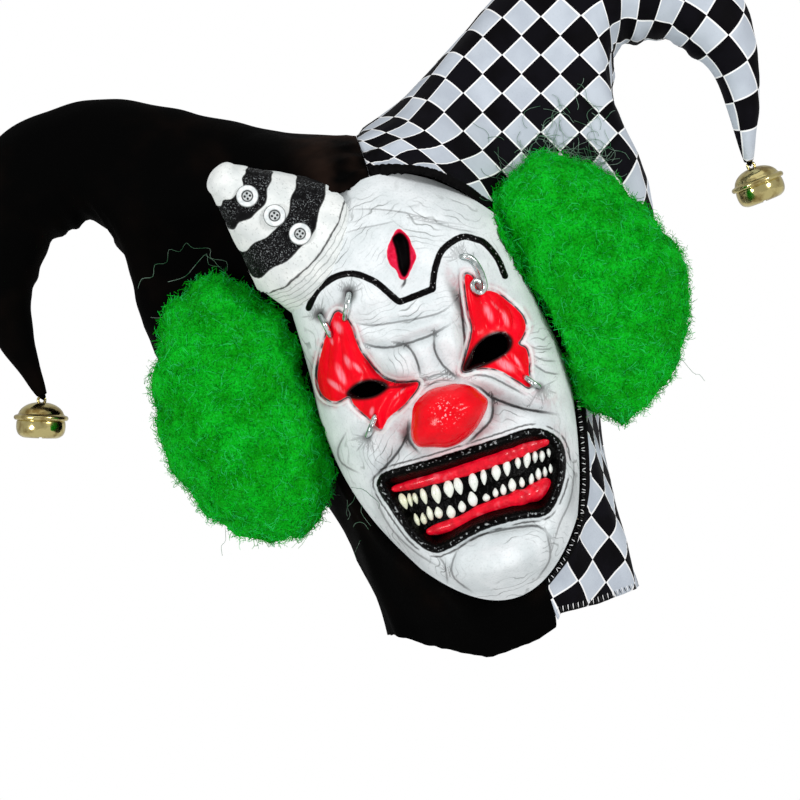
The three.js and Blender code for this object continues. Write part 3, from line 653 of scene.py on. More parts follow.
steps = np.linspace(-1, 1, FACE_ACROSS + 1)
closer_at_sides = 0.7 * steps + 0.3 * np.sin(steps * math.pi / 2)
across = np.concatenate([[-1] * SKIRT_ROWS, closer_at_sides, [1] * SKIRT_ROWS])
up = np.concatenate([[0] * SKIRT_ROWS, np.linspace(0, 1, FACE_UP + 1), [1] * SKIRT_ROWS])
face_grid = face_points(*np.broadcast_arrays(across[None, :], up[:, None]))
ramp = np.arange(SKIRT_ROWS, 0, -1) / SKIRT_ROWS
skirt_across = np.concatenate([ramp, np.zeros(FACE_ACROSS + 1), ramp[::-1]])
skirt_up = np.concatenate([ramp, np.zeros(FACE_UP + 1), ramp[::-1]])
face_grid[..., 1] += FACE_SKIRT * np.maximum(skirt_across[None, :], skirt_up[:, None])
points, faces, _ = trimmed(face_grid, to_edge(face_grid[..., 0], face_grid[..., 2], *eye_lines))
face = made("painted_face", points, faces, painted_latex, latex_inside)
x, z = points[:, 0], points[:, 2]
shades = sum(strength * spot(x, z, *place) for *place, strength in SHADES)
grooves = np.full(len(x), 9.0)
inks_and_shade = np.zeros(len(x))
# Painted shade along the creases: soft grey beside them, and dark lines down them
for _, width, tone, line in crease_lines:
    away, strength, side = crease_at(x, z, line)
    shades += 0.45 * tone * strength * ridge(away, 0, 1.3 * width)
    scaled = away / (0.3 + 0.55 * tone)
    grooves = np.where(scaled < np.abs(grooves), side * scaled, grooves)
    inks_and_shade = np.maximum(inks_and_shade, tone * strength * ridge(away, 0, 2.5))
# Painted shade towards the rim of the face, so that it looks rounded
shades += 0.2 * ridge(np.minimum(to_edge(x, z, face_rim), 0), 0, 7)
to_mouth, lip_arc, _ = distance(x, z, mouth_line, True)
face_marks = {
    "shade": shades,
    "groove": grooves,
    "near": np.abs(grooves),
    "ink_and_shade": inks_and_shade,
    "red": to_edge(x, z, *red_lines),
    "hole": to_edge(x, z, *eye_lines),
    "gash": to_edge(x, z, gash_line),
    "slit": to_edge(x, z, slit_line),
    "brow": distance(x, z, brow_line)[0] - BROW_INK,
    "mouth": to_mouth,
    "lip": lip_arc,
    "blush": sum(strength * spot(x, z, *place) for *place, strength in BLUSHES),
    "painted_highlight": np.max([spot(x, z, *place) for place in RED_PAINTED_HIGHLIGHTS], axis=0),
}
for way in LINES:
    patches = [spot(x, z, *place) for name, *place in HAIRLINES if name == way]
    face_marks[way] = np.clip(sum(patches), 0, 1)
for name, values in face_marks.items():
    mark(face, name, values)
worn(thickened(face, LATEX), "face", "face")


def tree_of(*pieces):
    """What a straight line meets on the pieces."""
    corners, polygons = [], []
    for piece in pieces:
        first = len(corners)
        corners += [v.co / MM for v in piece.data.vertices]
        polygons += [[first + k for k in polygon.vertices] for polygon in piece.data.polygons]
    return BVHTree.FromPolygons(corners, polygons)


def front_of(tree, x, z):
    """Depth of the first surface seen from the front at a place."""
    hit = tree.ray_cast(Vector((x, -300, z)), Vector((0, 1, 0)))[0]
    return hit.y if hit else None


face_tree = tree_of(face)

# Nose ball
# A hollow ball cast in thick latex and painted a glossy red, pebbled by the mould, its back seated on
# the face between the cheeks.
NOSE = {"x": -0.5, "y": -109, "z": -142, "deep": 18}
NOSE_RIM = [(19.5, -142), (17, -136), (13.5, -131.5), (8, -129), (2, -128), (-4, -127.5), (-9, -129),
            (-14, -132), (-17.5, -138), (-20, -145), (-19, -151.5), (-12, -154.5), (-4, -157), (5, -155),
            (13, -150)]
NOSE_UP = 56
# Middle of the painted highlight specks on the nose, where the lamps shine on it: X, Y, Z
NOSE_SHINE = (-1, -126, -140.5)
PEBBLE = 1.9


def turned(profile, segments):
    """Corners and faces of a profile of (radius, height) turned about Z, from its lower to its upper end."""
    points, faces = [], []
    rings = []
    for radius, height in profile:
        if radius < 1e-6:
            rings.append([len(points)])
            points.append((0, 0, height))
            continue
        rings.append(list(range(len(points), len(points) + segments)))
        for k in range(segments):
            angle = 2 * math.pi * k / segments
            points.append((radius * math.cos(angle), radius * math.sin(angle), height))
    for low, high in zip(rings, rings[1:]):
        for k in range(max(len(low), len(high))):
            a, b = low[k % len(low)], low[(k + 1) % len(low)]
            c, d = high[(k + 1) % len(high)], high[k % len(high)]
            faces.append(list(dict.fromkeys((a, b, c, d))))
    return np.array(points, float), faces


nose_red, paint, sockets = finish("nose_red", Specular_IOR_Level=0.2)
pebble = paint.node("ShaderNodeTexVoronoi", {"feature": "SMOOTH_F1"},
                    {"Vector": paint.place(), "Scale": 1 / (PEBBLE * MM)})
speck = paint.noise(0.9, 2).between(0.66, 0.74)
from_shine = paint.node("ShaderNodeVectorMath", {"operation": "DISTANCE"},
                        {0: paint.place(), 1: tuple(MM * part for part in NOSE_SHINE)}, "Value")
ball_red = (speck * 0.35).mix(paint.clouds(8, "f40018", "e20014"), colour("8a0008"))
# Painted highlight: pale specks round the place where the lamps shine on the nose
painted_glint_specks = from_shine.below(3 * MM, 10.5 * MM) * paint.noise(1.3, 2).between(0.6, 0.66) * 0.6
paint.join(painted_glint_specks.mix(ball_red, colour("ffc4cc")), sockets["Base Color"])
paint.join(0.12 + paint.noise(3, 3) * 0.12, sockets["Roughness"])
raise_skin(paint, sockets, 0.6 * (1 - pebble) + paint.noise(0.8, 1) * 0.5, 0.16, 1.0)
rim = smooth_line(NOSE_RIM, True, 8) - [NOSE["x"], NOSE["z"]]
angles = np.linspace(-math.pi / 2, math.pi / 2, NOSE_UP + 1)
profile = [(max(0, math.cos(a)) if k % NOSE_UP else 0, math.sin(a)) for k, a in enumerate(angles)]
points, faces = turned(profile, len(rim))
lumps = 1 + 0.014 * ripple(points, 0.8, 3) + 0.006 * ripple(points, 0.25, 4)
ways = np.round(np.arctan2(points[:, 1], points[:, 0]) * len(rim) / (2 * math.pi)).astype(int) % len(rim)
spread = np.hypot(points[:, 0], points[:, 1])[:, None] * rim[ways]
points = np.stack([spread[:, 0], -NOSE["deep"] * points[:, 2], spread[:, 1]], 1) * lumps[:, None]
nose = made("nose_ball", points + [NOSE["x"], NOSE["y"], NOSE["z"]], faces, nose_red)
worn(nose, "nose", "nose")

# Gums
# Two bumpy strips of red-painted latex cast in the mouth, one under the upper lip and one over the
# lower lip, each given by its middle line and half height.
GUMS = [
    ("upper_gum", [(-37.4, -167.3, 2.1), (-25.8, -168.1, 2.5), (-14.5, -168.7, 2.8), (-1.6, -169.1, 3.2),
                   (10.3, -168.8, 3.4), (22.2, -168.6, 3.5), (33, -168.3, 3.1), (41.2, -168.6, 2.6)]),
    ("lower_gum", [(-28, -191.9, 2), (-19.6, -192.2, 3), (-11.4, -192, 2.6), (-0.4, -190.1, 2.7),
                   (10.5, -189.9, 3.1), (20.2, -190.4, 3.9), (29, -189.6, 4.1), (36, -186.6, 3.4)]),
]
GUM_STEPS = 90
GUM_SIDES = 20
GUM_FLAT = 0.78
GUM_OUT = 0.6


def swept(path, radii, sides):
    """Corners and faces of a closed tube along a path, its radius one number or one for each point."""
    path = np.asarray(path, float)
    radii = np.broadcast_to(radii, len(path))
    tangents = np.gradient(path, axis=0)
    tangents /= np.linalg.norm(tangents, axis=1, keepdims=True)
    side = np.cross(tangents[0], (0.2, 0.9, 0.4))
    points, faces = [], []
    for k, (spot, tangent, radius) in enumerate(zip(path, tangents, radii)):
        side = side - tangent * (side @ tangent)
        side /= np.linalg.norm(side)
        other = np.cross(tangent, side)
        for j in range(sides):
            angle = 2 * math.pi * j / sides
            points.append(spot + radius * (math.cos(angle) * side + math.sin(angle) * other))
            if k:
                a, b = (k - 1) * sides + j, (k - 1) * sides + (j + 1) % sides
                faces.append((a, b, b + sides, a + sides))
    last = (len(path) - 1) * sides
    faces.append(tuple(range(sides))[::-1])
    faces.append(tuple(range(last, last + sides)))
    return np.array(points), faces


def evened(values, reach, beyond="edge"):
    """A row of values, each the mean of those within reach of it."""
    count = 2 * reach + 1
    return np.convolve(np.pad(values, reach, beyond), np.ones(count) / count, "valid")


gum_red, paint, sockets = finish("gum_red", Coat_Weight=0.3, Coat_Roughness=0.15, Specular_IOR_Level=0.1)
# Painted highlight: pale pink streaks on the gums
painted_highlight = paint.noise(5, 2).between(0.56, 0.72) * 0.3
paint.join(painted_highlight.mix(paint.clouds(3.5, "f4102c", "cf0420"), colour("ff8090")), sockets["Base Color"])
paint.join(0.25 + paint.noise(2, 2) * 0.2, sockets["Roughness"])
raise_skin(paint, sockets, paint.noise(1.8, 3), 0.6, 0.9)
for node, line in GUMS:
    x, z, half = along(line, np.linspace(0, 1, GUM_STEPS)).T
    depth = evened([front_of(face_tree, *place) for place in zip(x, z)], 4) - GUM_OUT
    taper = np.sqrt(1 - np.linspace(-1, 1, GUM_STEPS) ** 10) * 0.97 + 0.03
    lumps = 1 + 0.12 * ripple(np.stack([x, 0 * x, 0 * x], 1), 7, 11)
    points, faces = swept(np.stack([x, depth, z], 1), half * taper * lumps, GUM_SIDES)
    middle = np.repeat(depth, GUM_SIDES)
    points[:, 1] = middle + (points[:, 1] - middle) * GUM_FLAT
    worn(made(node + "_strip", points, faces, gum_red), "gum", node)

# Teeth
# Small blunt teeth of hard ivory resin set apart in the black mouth, yellower towards the mask's right,
# an upper row that points down and a lower row that points up.
TOOTH_LEAN = 18
TOOTH_WIDER = 0.97
TOOTH_TALLER = 1.08
TOOTH_DEEP = 1.8
TOOTH_OUT = 0.5
# Each row: its name, the way its teeth point, and each tooth's X, Z, half width and half height
TOOTH_ROWS = [
    ("upper_teeth", math.pi, [
        (-33.8, -174.8, 2.1, 4.1), (-30.3, -174.8, 1.3, 3.1), (-27.7, -174.9, 1.3, 2.6),
        (-23.6, -175.2, 1.6, 3.7), (-17.6, -176, 2.3, 4.4), (-11.2, -175.6, 2.5, 3.9),
        (-6.4, -175.7, 2.1, 4), (0.9, -176.2, 2.2, 4.2), (6.3, -175.4, 1.5, 3.6), (12.6, -175.3, 2.2, 3.6),
        (18.2, -174.5, 1.8, 3.9), (23.9, -174.2, 1.4, 2.6), (28.4, -174.2, 1.8, 3.9),
        (32.5, -174.1, 1.4, 2.7), (35.8, -174.8, 1.5, 2.6), (39.5, -174.2, 1.1, 2.1)]),
    ("lower_teeth", 0, [
        (-30.4, -184.8, 1.3, 3.1), (-27, -185.2, 1.6, 2.7), (-23.4, -183.8, 1.6, 3.3),
        (-19.4, -184.7, 2, 2.7), (-13.7, -186.2, 2.2, 3), (-7.9, -185.5, 1.9, 2.6), (-2, -183.6, 2.3, 3.4),
        (4.4, -185, 1.8, 1.8), (9.3, -184.2, 1.4, 2.1), (13.3, -184, 1.5, 2.5), (18, -183.2, 1.9, 3),
        (22.8, -183.5, 1.4, 2.3), (27.6, -183.6, 1.3, 2.7), (31.5, -182.3, 1.5, 2.8),
        (34.8, -182.3, 1.2, 2.4), (38, -181.7, 1, 2.2)]),
]


def new_tree(name, **inputs):
    """A geometry tree with named inputs: a Shade to build with, and the group's own inputs by name."""
    tree = bpy.data.node_groups.new(name, "GeometryNodeTree")
    tree.interface.new_socket("Geometry", in_out="INPUT", socket_type="NodeSocketGeometry")
    for label, kind in inputs.items():
        tree.interface.new_socket(label, in_out="INPUT", socket_type="NodeSocket" + kind)
    tree.interface.new_socket("Geometry", in_out="OUTPUT", socket_type="NodeSocketGeometry")
    source = tree.nodes.new("NodeGroupInput")
    return Shade(tree), {socket.name: Shade(tree, socket) for socket in source.outputs}


def close_tree(build, geometry, material):
    """End a tree in real geometry with its material set."""
    real = build.node("GeometryNodeRealizeInstances", None, {"Geometry": geometry})
    coated = build.node("GeometryNodeSetMaterial", None, {"Geometry": real, "Material": material})
    build.join(coated, build.tree.nodes.new("NodeGroupOutput").inputs["Geometry"])
    return build.tree


def kept_on(build, name, kind="FLOAT"):
    """A value, or a vector, that mark() left on the points."""
    return build.node("GeometryNodeInputNamedAttribute", {"data_type": kind}, {"Name": name})


def vector(build, operation, first, second):
    return build.node("ShaderNodeVectorMath", {"operation": operation}, {0: first, 1: second})


def grown(piece, tree, **sizes):
    """The piece as the plain mesh that a tree makes of it."""
    modifier = piece.modifiers.new(tree.name, "NODES")
    modifier.node_group = tree
    for item in tree.interface.items_tree:
        if item.in_out == "INPUT" and item.name in sizes:
            modifier[item.identifier] = sizes[item.name]
    return settled(piece)


ivory, paint, sockets = finish("ivory_resin", Coat_Weight=0.4, Coat_Roughness=0.1)
yellow = paint.part("X").below(-36 * MM, 2 * MM) * 0.5 + paint.noise(3, 2) * 0.25
tooth_colour = yellow.between(0.1, 1.1).mix(colour("eff5ee"), colour("dfe0a8"))
tooth_colour = (paint.noise(1.2, 2).between(0.58, 0.72) * 0.4).mix(tooth_colour, colour("9fb0a4"))
paint.join(tooth_colour, sockets["Base Color"])
paint.join(0.25 + paint.noise(2, 2) * 0.15, sockets["Roughness"])
raise_skin(paint, sockets, paint.noise(1.2, 2), 0.25, 0.5)
build, inputs = new_tree("tooth_row", Depth="Float", Seed="Int", Finish="Material")
ball = build.node("GeometryNodeMeshUVSphere", None, {"Segments": 16, "Rings": 12, "Radius": 1.0})
spot_on_ball = build.node("GeometryNodeInputPosition")
tall = build.node("ShaderNodeSeparateXYZ", None, {"Vector": spot_on_ball}, "Z")
narrow = 1.06 - tall.between(-0.1, 1.1) * 0.38
slim = build.node("ShaderNodeCombineXYZ", None, {"X": narrow, "Y": narrow, "Z": 1.0})
tooth = build.node("GeometryNodeSetPosition", None,
                   {"Geometry": ball, "Position": vector(build, "MULTIPLY", spot_on_ball, slim)})
tooth = build.node("GeometryNodeSetShadeSmooth", None, {"Geometry": tooth})
waver = build.node("FunctionNodeRandomValue", {"data_type": "FLOAT_VECTOR"},
                   {"Min": (-0.1, -0.1, -0.2), "Max": (0.1, 0.1, 0.2), "Seed": inputs["Seed"]})
size = build.node("ShaderNodeCombineXYZ", None,
                  {"X": kept_on(build, "wide"), "Y": inputs["Depth"], "Z": kept_on(build, "tall")})
row = build.node("GeometryNodeInstanceOnPoints", None,
                 {"Points": inputs["Geometry"], "Instance": tooth, "Scale": size,
                  "Rotation": vector(build, "ADD", waver, kept_on(build, "aim", "FLOAT_VECTOR"))})
tooth_tree = close_tree(build, row, inputs["Finish"])
for node, aim, places in TOOTH_ROWS:
    x, z, wide, tall = np.array(places).T
    depth = [front_of(face_tree, *place) - TOOTH_OUT for place in zip(x, z)]
    teeth = made(node + "_row", np.stack([x, depth, z], 1), [])
    lean = np.radians(TOOTH_LEAN) * smoothstep(x, -30, 35)
    mark(teeth, "aim", np.stack([0 * x + aim, lean, 0 * x], 1))
    mark(teeth, "wide", TOOTH_WIDER * wide * MM)
    mark(teeth, "tall", TOOTH_TALLER * tall * MM)
    grown(teeth, tooth_tree, Depth=TOOTH_DEEP * MM, Seed=7, Finish=ivory)
    worn(teeth, "teeth", node)

# Hood
# A jester hood of two cloth halves sewn along the middle, each half cut as a front and a back panel
# and drawn out into a hollow horn, black on one side and printed with a check on the other.
CLOTH = 1.6
SEAM_Y = 8
SEAM_GAP = 0.15
FACE_GAP = 0.3
TIP_SWAY = -3.5
HORN_STEPS = 156
FRONT_STEPS = 148
BACK_STEPS = 40
PAST_SEAM = 0.07
# Ribs from the middle seam to the horn tip: upper and lower edge, where the rib is deepest, how far it
# stands out in front and behind, and how square its upper part is
HOOD_RIBS = [
    (0, 1.6, 0, -290, 0.39, 104, 95, 2.7),
    (22, 8, 20, -290, 0.39, 101, 93, 2.7),
    (41, 17.5, 38, -290, 0.4, 82, 84, 2.6),
    (54, 25, 51, -288, 0.42, 63, 71, 2.4),
    (61, 29, 59, -276, 0.45, 55, 63, 2.3),
    (68, 33, 62.5, -208, 0.5, 50, 57, 2.2),
    (76, 38.5, 72, -160, 0.5, 46, 52, 2.1),
    (86, 44, 98, -124, 0.5, 42, 46, 2),
    (97, 50, 120, -95, 0.5, 38, 40, 2),
    (108, 54.5, 126, -68, 0.5, 35, 36, 2),
    (120, 57.5, 125, -42, 0.5, 32, 33, 2),
    (133, 58.5, 124.5, -22, 0.5, 30, 30, 2),
    (148, 58, 129, -6, 0.5, 28, 28, 2),
    (164, 54, 140, 2, 0.5, 26, 26, 2),
    (180, 44, 154, -1.5, 0.5, 23, 23, 2),
    (193, 26, 166, -12, 0.5, 19, 19, 2),
    (200, 3, 173, -24, 0.5, 15.5, 15.5, 2),
    (199, -21, 176, -36, 0.5, 12, 12, 2),
    (193.5, -44, 177, -50, 0.5, 8.5, 8.5, 2),
    (187, -61, 177.5, -62, 0.5, 5.5, 5.5, 2),
    (183, -71, 178, -71, 0.5, 3, 3, 2),
]
HEM = [(-90, -230), (-59, -234), (-43, -245), (-18, -259), (5, -258), (18, -255), (20, -249), (40, -251),
       (90, -249)]
CHIN_SEAM_X = 18.5
CHIN_SEAM_TOP = -190
# How high the cloth is folded: in the bend of the horn, over the forehead on the black and the check side,
# at the neck, where it sags and crumples, along the face, and down into the middle seam
BEND_FOLD = 1.8
BEND_CRUMPLE = 0.9
CROWN_FOLD = {-1: 1.5, 1: 2.6}
NECK_FOLD = 1.1
SAG = 1.2
CRUMPLE = 0.35
FACE_ROLL = 1.3
SEAM_DIP = 0.9
# How far the closed tip of a horn hangs below its last ring
TIP_DROP = 1.5
# The check: a square's side, how the squares are turned, the corner they are counted from, how far the
# print turns with the horn, how far it is drawn up over the forehead, how taut the cloth is and how much
# it waves there, and where it is laid flat, in X and Z
CHECK_SIDE = 13.2
CHECK_TURN = 26.5
CHECK_CORNER = (102.6, 26.3)
CHECK_BEND = 30.5
CHECK_GATHER = 25
CHECK_TAUT = 0.85
CHECK_WAVE = 3
CHECK_FLAT = ((35, 115), (-20, 48))
EDGE_BAND = 3.2


def hood_points(t, angle):
    """Points of the cloth, t from -1 at the left tip to 1 at the right one, and an angle round the rib."""
    reach = np.abs(t)
    rib = np.moveaxis(along(HOOD_RIBS, reach), -1, 0)
    upper_x, upper_z, lower_x, lower_z, waist, front, back, crown = rib
    power = np.where(np.cos(angle) > 0, crown, 2)
    rise = np.sign(np.cos(angle)) * np.abs(np.cos(angle)) ** (2 / power)
    out = np.sign(np.sin(angle)) * np.abs(np.sin(angle)) ** (2 / power)
    share = np.where(rise > 0, waist * (1 - rise), waist - (1 - waist) * rise)
    x = np.where(t < 0, -1, 1) * (upper_x + (lower_x - upper_x) * share)
    x = x + TIP_SWAY * smoothstep(reach, 0.75, 1)
    y = SEAM_Y + out * np.where(out > 0, back, front)
    return np.stack([x, y, upper_z + (lower_z - upper_z) * share], -1)


def grid_normals(points):
    """Outward directions of a grid that wraps round in its rows."""
    around = np.roll(points, -1, 0) - np.roll(points, 1, 0)
    normals = np.cross(np.gradient(points, axis=1), around)
    return normals / np.maximum(np.linalg.norm(normals, axis=-1, keepdims=True), 1e-9)


def crown_share(x, z):
    """How strongly the cloth is gathered over the forehead, most at the middle seam."""
    above = 0.526 * (np.abs(x) - 11.5) + 0.85 * (z - 3.3)
    return smoothstep(-above, -4, 24) * smoothstep(z, -62, -36) * (1 - smoothstep(np.abs(x), 12, 66))


def hood_half(name, first, last, side, *materials):
    """Half of the hood, open at the face and the neck: the piece, its corners and its grid."""
    angle = np.concatenate([np.linspace(0, math.pi, BACK_STEPS, False),
                            np.linspace(math.pi, 2 * math.pi, FRONT_STEPS, False)])
    t = np.linspace(first, last, HORN_STEPS)
    t, angle = np.broadcast_arrays(t[None, :], angle[:, None])
    points = hood_points(t, angle)
    x, y, z = np.moveaxis(points, -1, 0)
    reach = np.abs(t)
    to_face = np.where(y < SEAM_Y, to_edge(x, z, face_rim) - FACE_GAP, 200)
    steps = np.diff(np.concatenate([points, points[:1]]), axis=0)
    slack = CHECK_TAUT * np.linalg.norm(steps, axis=-1) - np.hypot(steps[..., 0], steps[..., 2])
    walked = np.concatenate([0 * slack[:1], np.cumsum(np.maximum(0, slack), axis=0)])
    behind = walked[BACK_STEPS // 2] - walked[:-1]
    ahead = walked - walked[BACK_STEPS + FRONT_STEPS // 2]
    ahead = np.concatenate([ahead[-1:], ahead[1:-1]])
    inner = np.maximum(0, -np.cos(angle)) ** 1.3
    bend = np.sqrt(np.maximum(0, 1 - np.abs(reach - 0.65) / 0.15))
    folds = BEND_FOLD * bend * inner * np.cos(math.pi * 21 * reach)
    folds += BEND_CRUMPLE * bend * inner * np.cos(math.pi * 52 * reach + 3 * ripple(points, 40, 21))
    pleat = 2 * math.pi * to_face / (8 + 7 * smoothstep(np.abs(x), 0, 45)) + 1.2 * ripple(points, 46, 22)
    gather = CROWN_FOLD[side] * crown_share(x, z) * smoothstep(SEAM_Y - y, 0, 25)
    folds += gather * np.sin(pleat + 0.6 * np.sin(pleat))
    folds += NECK_FOLD * smoothstep(-z, 150, 190) * np.sin(x / 4.2 + 2.5 * ripple(points, 60, 23))
    folds += SAG * (1 - 0.6 * reach) * ripple(points, 52, 24) + CRUMPLE * ripple(points, 17, 25)
    folds += FACE_ROLL * np.sqrt(np.maximum(0, 1 - ((to_face - 2.6) / 2.6) ** 2))
    folds -= SEAM_DIP * ridge(x, 0, 2.2) * (z > -60)
    folds *= 1 - 0.75 * smoothstep(reach, 0.9, 1)
    points = points + grid_normals(points) * folds[..., None]
    x, y, z = np.moveaxis(points, -1, 0)
    hem = np.interp(x, *np.array(HEM).T) + np.where(x < CHIN_SEAM_X, 0.7, 0.15) * ripple(points, 7, 26)
    swing = np.where(y < SEAM_Y, smoothstep(-z, -CHIN_SEAM_TOP - 6, -CHIN_SEAM_TOP + 4), 0)
    keep = np.minimum(np.minimum(to_face, z - hem), side * (x - CHIN_SEAM_X * swing) - SEAM_GAP)
    corners, faces, place = trimmed(np.dstack([points, reach, to_face, ahead, behind]), keep, True)
    end = place[:, 0 if side < 0 else -1]
    corners = np.vstack([corners, corners[end].mean(0) + [0, 0, -TIP_DROP, 0, 0, 0, 0]])
    fan = [(end[k], end[(k + 1) % len(end)], len(corners) - 1)[::side] for k in range(len(end))]
    return made(name, corners, [*faces.tolist(), *fan], *materials), corners, place


hood_black, paint, sockets = finish("black_velour", Specular_IOR_Level=0.03)
nap = paint.noise(0.5, 2)
patch = paint.noise(34, 3)
# Painted sheen: a brown glow on the black cloth over the forehead, near the middle seam
painted_sheen = paint.part("X").between(-40 * MM, -8 * MM) * paint.part("Z").between(-45 * MM, -12 * MM)
painted_sheen = painted_sheen * patch.between(0.3, 0.6)
velour = patch.between(0.45, 0.8).mix(colour("010101"), colour("0b0604"))
paint.join((painted_sheen * 0.8).mix(velour, colour("33241d")), sockets["Base Color"])
paint.join(0.75 + nap * 0.2, sockets["Roughness"])
raise_skin(paint, sockets, nap * 0.6 + paint.noise(2.2, 3) * 0.5, 0.4, 0.6)
hood_lining, paint, sockets = finish("dark_lining", Roughness=0.9, Specular_IOR_Level=0.03)
paint.join(paint.clouds(6, "060506", "0e0d0e"), sockets["Base Color"])
black_half, _, _ = hood_half("hood_black_half", -1, PAST_SEAM, -1, hood_black, hood_lining)
worn(thickened(black_half, CLOTH), "hood_black", "hood_black")

hood_check, paint, sockets = finish("printed_check", Specular_IOR_Level=0.05)
cloth = paint.node("ShaderNodeUVMap", {"uv_map": "panels"})
cells = [paint.node("ShaderNodeSeparateXYZ", None, {"Vector": cloth}, axis) for axis in "XY"]
parity = paint.math("ABSOLUTE", paint.math("FLOOR", cells[0]) + paint.math("FLOOR", cells[1]))
grey = paint.math("MODULO", parity, 2.0)
edges = [0.5 - paint.math("ABSOLUTE", paint.math("FRACT", cell) - 0.5) for cell in cells]
from_edge = paint.math("MINIMUM", *edges)
print_grey = paint.clouds(20, "c4ccd6", "b6bec9")
print_grey = (paint.noise(0.8, 2).between(0.6, 0.75) * 0.2).mix(print_grey, colour("8f959c"))
print_grey = from_edge.below(0.04, 0.065).mix(print_grey, colour("fbfbfb"))
print_black = paint.clouds(20, "050406", "0d0c12")
bound = paint.value("to_face").below(EDGE_BAND, EDGE_BAND + 0.3)
paint.join(bound.mix(grey.mix(print_black, print_grey), colour("060506")), sockets["Base Color"])
paint.join(0.55 + paint.noise(0.6, 2) * 0.2, sockets["Roughness"])
raise_skin(paint, sockets, paint.noise(0.45, 2) * 0.5 + paint.noise(3, 2) * 0.4, 0.3, 0.6)
check_half, corners, place = hood_half("hood_check_half", -PAST_SEAM, 1, 1, hood_check, hood_lining)


def lay_flat(piece, corners, place, label):
    mesh = piece.data
    edges = {frozenset(pair) for row in (0, BACK_STEPS) for pair in zip(place[row], place[row, 1:])}
    for edge in mesh.edges:
        edge.use_seam = frozenset(edge.vertices) in edges
    mesh.uv_layers.new(name=label)
    bpy.context.view_layer.objects.active = piece
    bpy.ops.object.mode_set(mode="EDIT")
    bpy.ops.mesh.select_all(action="SELECT")
    bpy.ops.uv.unwrap(method="MINIMUM_STRETCH", fill_holes=False, iterations=20, margin=0.01)
    bpy.ops.object.mode_set(mode="OBJECT")
    layer = mesh.uv_layers[label].data
    flat = np.zeros(2 * len(layer))
    layer.foreach_get("uv", flat)
    flat = flat[0::2] + 1j * flat[1::2]
    corner_of = np.zeros(len(layer), int)
    mesh.loops.foreach_get("vertex_index", corner_of)
    x, _, z, reach, _, *leads = corners[corner_of].T
    upper_x, upper_z, lower_x, lower_z = along(HOOD_RIBS, reach)[:, :4].T
    rib = upper_x - lower_x + 1j * (upper_z - lower_z)
    middles = np.array([p.center.y for p in mesh.polygons]) / MM
    behind = np.repeat(middles, [p.loop_total for p in mesh.polygons]) > SEAM_Y
    upper = place[0][place[0] >= 0]
    for panel, way, lead in (behind, -1, leads[1]), (~behind, 1, leads[0]):
        (from_x, to_x), (from_z, to_z) = CHECK_FLAT
        base = panel & (x > from_x) & (x < to_x) & (z > from_z) & (z < to_z)
        seen = way * x[base] + 1j * z[base]
        fits = []
        for side in flat, flat.conj():
            terms = np.stack([side[base], np.ones(base.sum())], 1)
            scale, shift = np.linalg.lstsq(terms, seen, rcond=None)[0]
            fits.append((np.abs(terms @ (scale, shift) - seen).sum(), side[panel] * scale + shift))
        cloth = min(fits, key=lambda fit: fit[0])[1]
        flat_on = smoothstep(z[panel], -75, -35) * (1 - smoothstep(reach[panel], 0.44, 0.6))
        laid = (x + 1j * z + lead * rib / np.abs(rib))[panel]
        cloth += flat_on * (way * laid.real + 1j * laid.imag - cloth)
        count = np.maximum(np.bincount(corner_of[panel], minlength=len(corners)), 1)
        line = (np.bincount(corner_of[panel], cloth.real, len(corners))
                + 1j * np.bincount(corner_of[panel], cloth.imag, len(corners))) / count
        line, marks = line[upper], corners[upper, 3]
        turn = np.exp(1j * way * math.radians(CHECK_BEND) * smoothstep(marks, 0.5, 0.8))
        steps = np.diff(line) * (turn[1:] + turn[:-1]) / 2
        unbent = line[0] + np.concatenate([[0], np.cumsum(steps)])
        own = np.interp(reach[panel], marks, np.arange(len(marks)))
        low = np.minimum(own.astype(int), len(marks) - 2)
        cloth = cloth - (line[low] + (own - low) * (line[low + 1] - line[low]))
        cloth *= np.exp(1j * way * math.radians(CHECK_BEND) * smoothstep(reach[panel], 0.5, 0.8))
        cloth += unbent[low] + (own - low) * (unbent[low + 1] - unbent[low])
        gathered = crown_share(x[panel], z[panel]) * (way > 0)
        cloth += 1j * gathered * (CHECK_WAVE * np.sin(x[panel] / 3.4 + z[panel] / 9) - CHECK_GATHER)
        flat[panel] = (cloth - complex(*CHECK_CORNER)) * np.exp(-1j * math.radians(CHECK_TURN)) / CHECK_SIDE
    layer.foreach_set("uv", np.stack([flat.real, flat.imag], 1).ravel())


lay_flat(check_half, corners, place, "panels")
mark(check_half, "to_face", corners[:, 4])
worn(thickened(check_half, CLOTH), "hood_check", "hood_check")
hood_tree = tree_of(face, black_half, check_half)

# Hood stitching
# Overlocked edges of the check half: a black rolled edge with white thread zig-zagged over it down the
# side of the chin, and close upright stitches of white and black thread along the hem.
STITCH_STEP = 1.25
STITCH_THICK = 0.22
RIM_STITCH = 1.05
HEM_STITCH = 2.1
ROLL_OUT = 2.2
ROLL_RADIUS = 1.5
ROLL_STEP = 1.5
CHIN_EDGE_FROM = (19.5, -128)
# How the stitches of each row lean from the way it runs, in degrees, and which of them are white
CHIN_LEANS = [62, 112, 90, 75, 100]
CHIN_WHITE = [1, 0, 1, 0, 0, 1, 1, 0]
HEM_LEANS = [84, 97]
HEM_WHITE = [1, 0]
HEM_SPAN = (20.5, 84)
# Cloth further back than this isn't the front that is stitched
FRONT_Y = SEAM_Y - 10

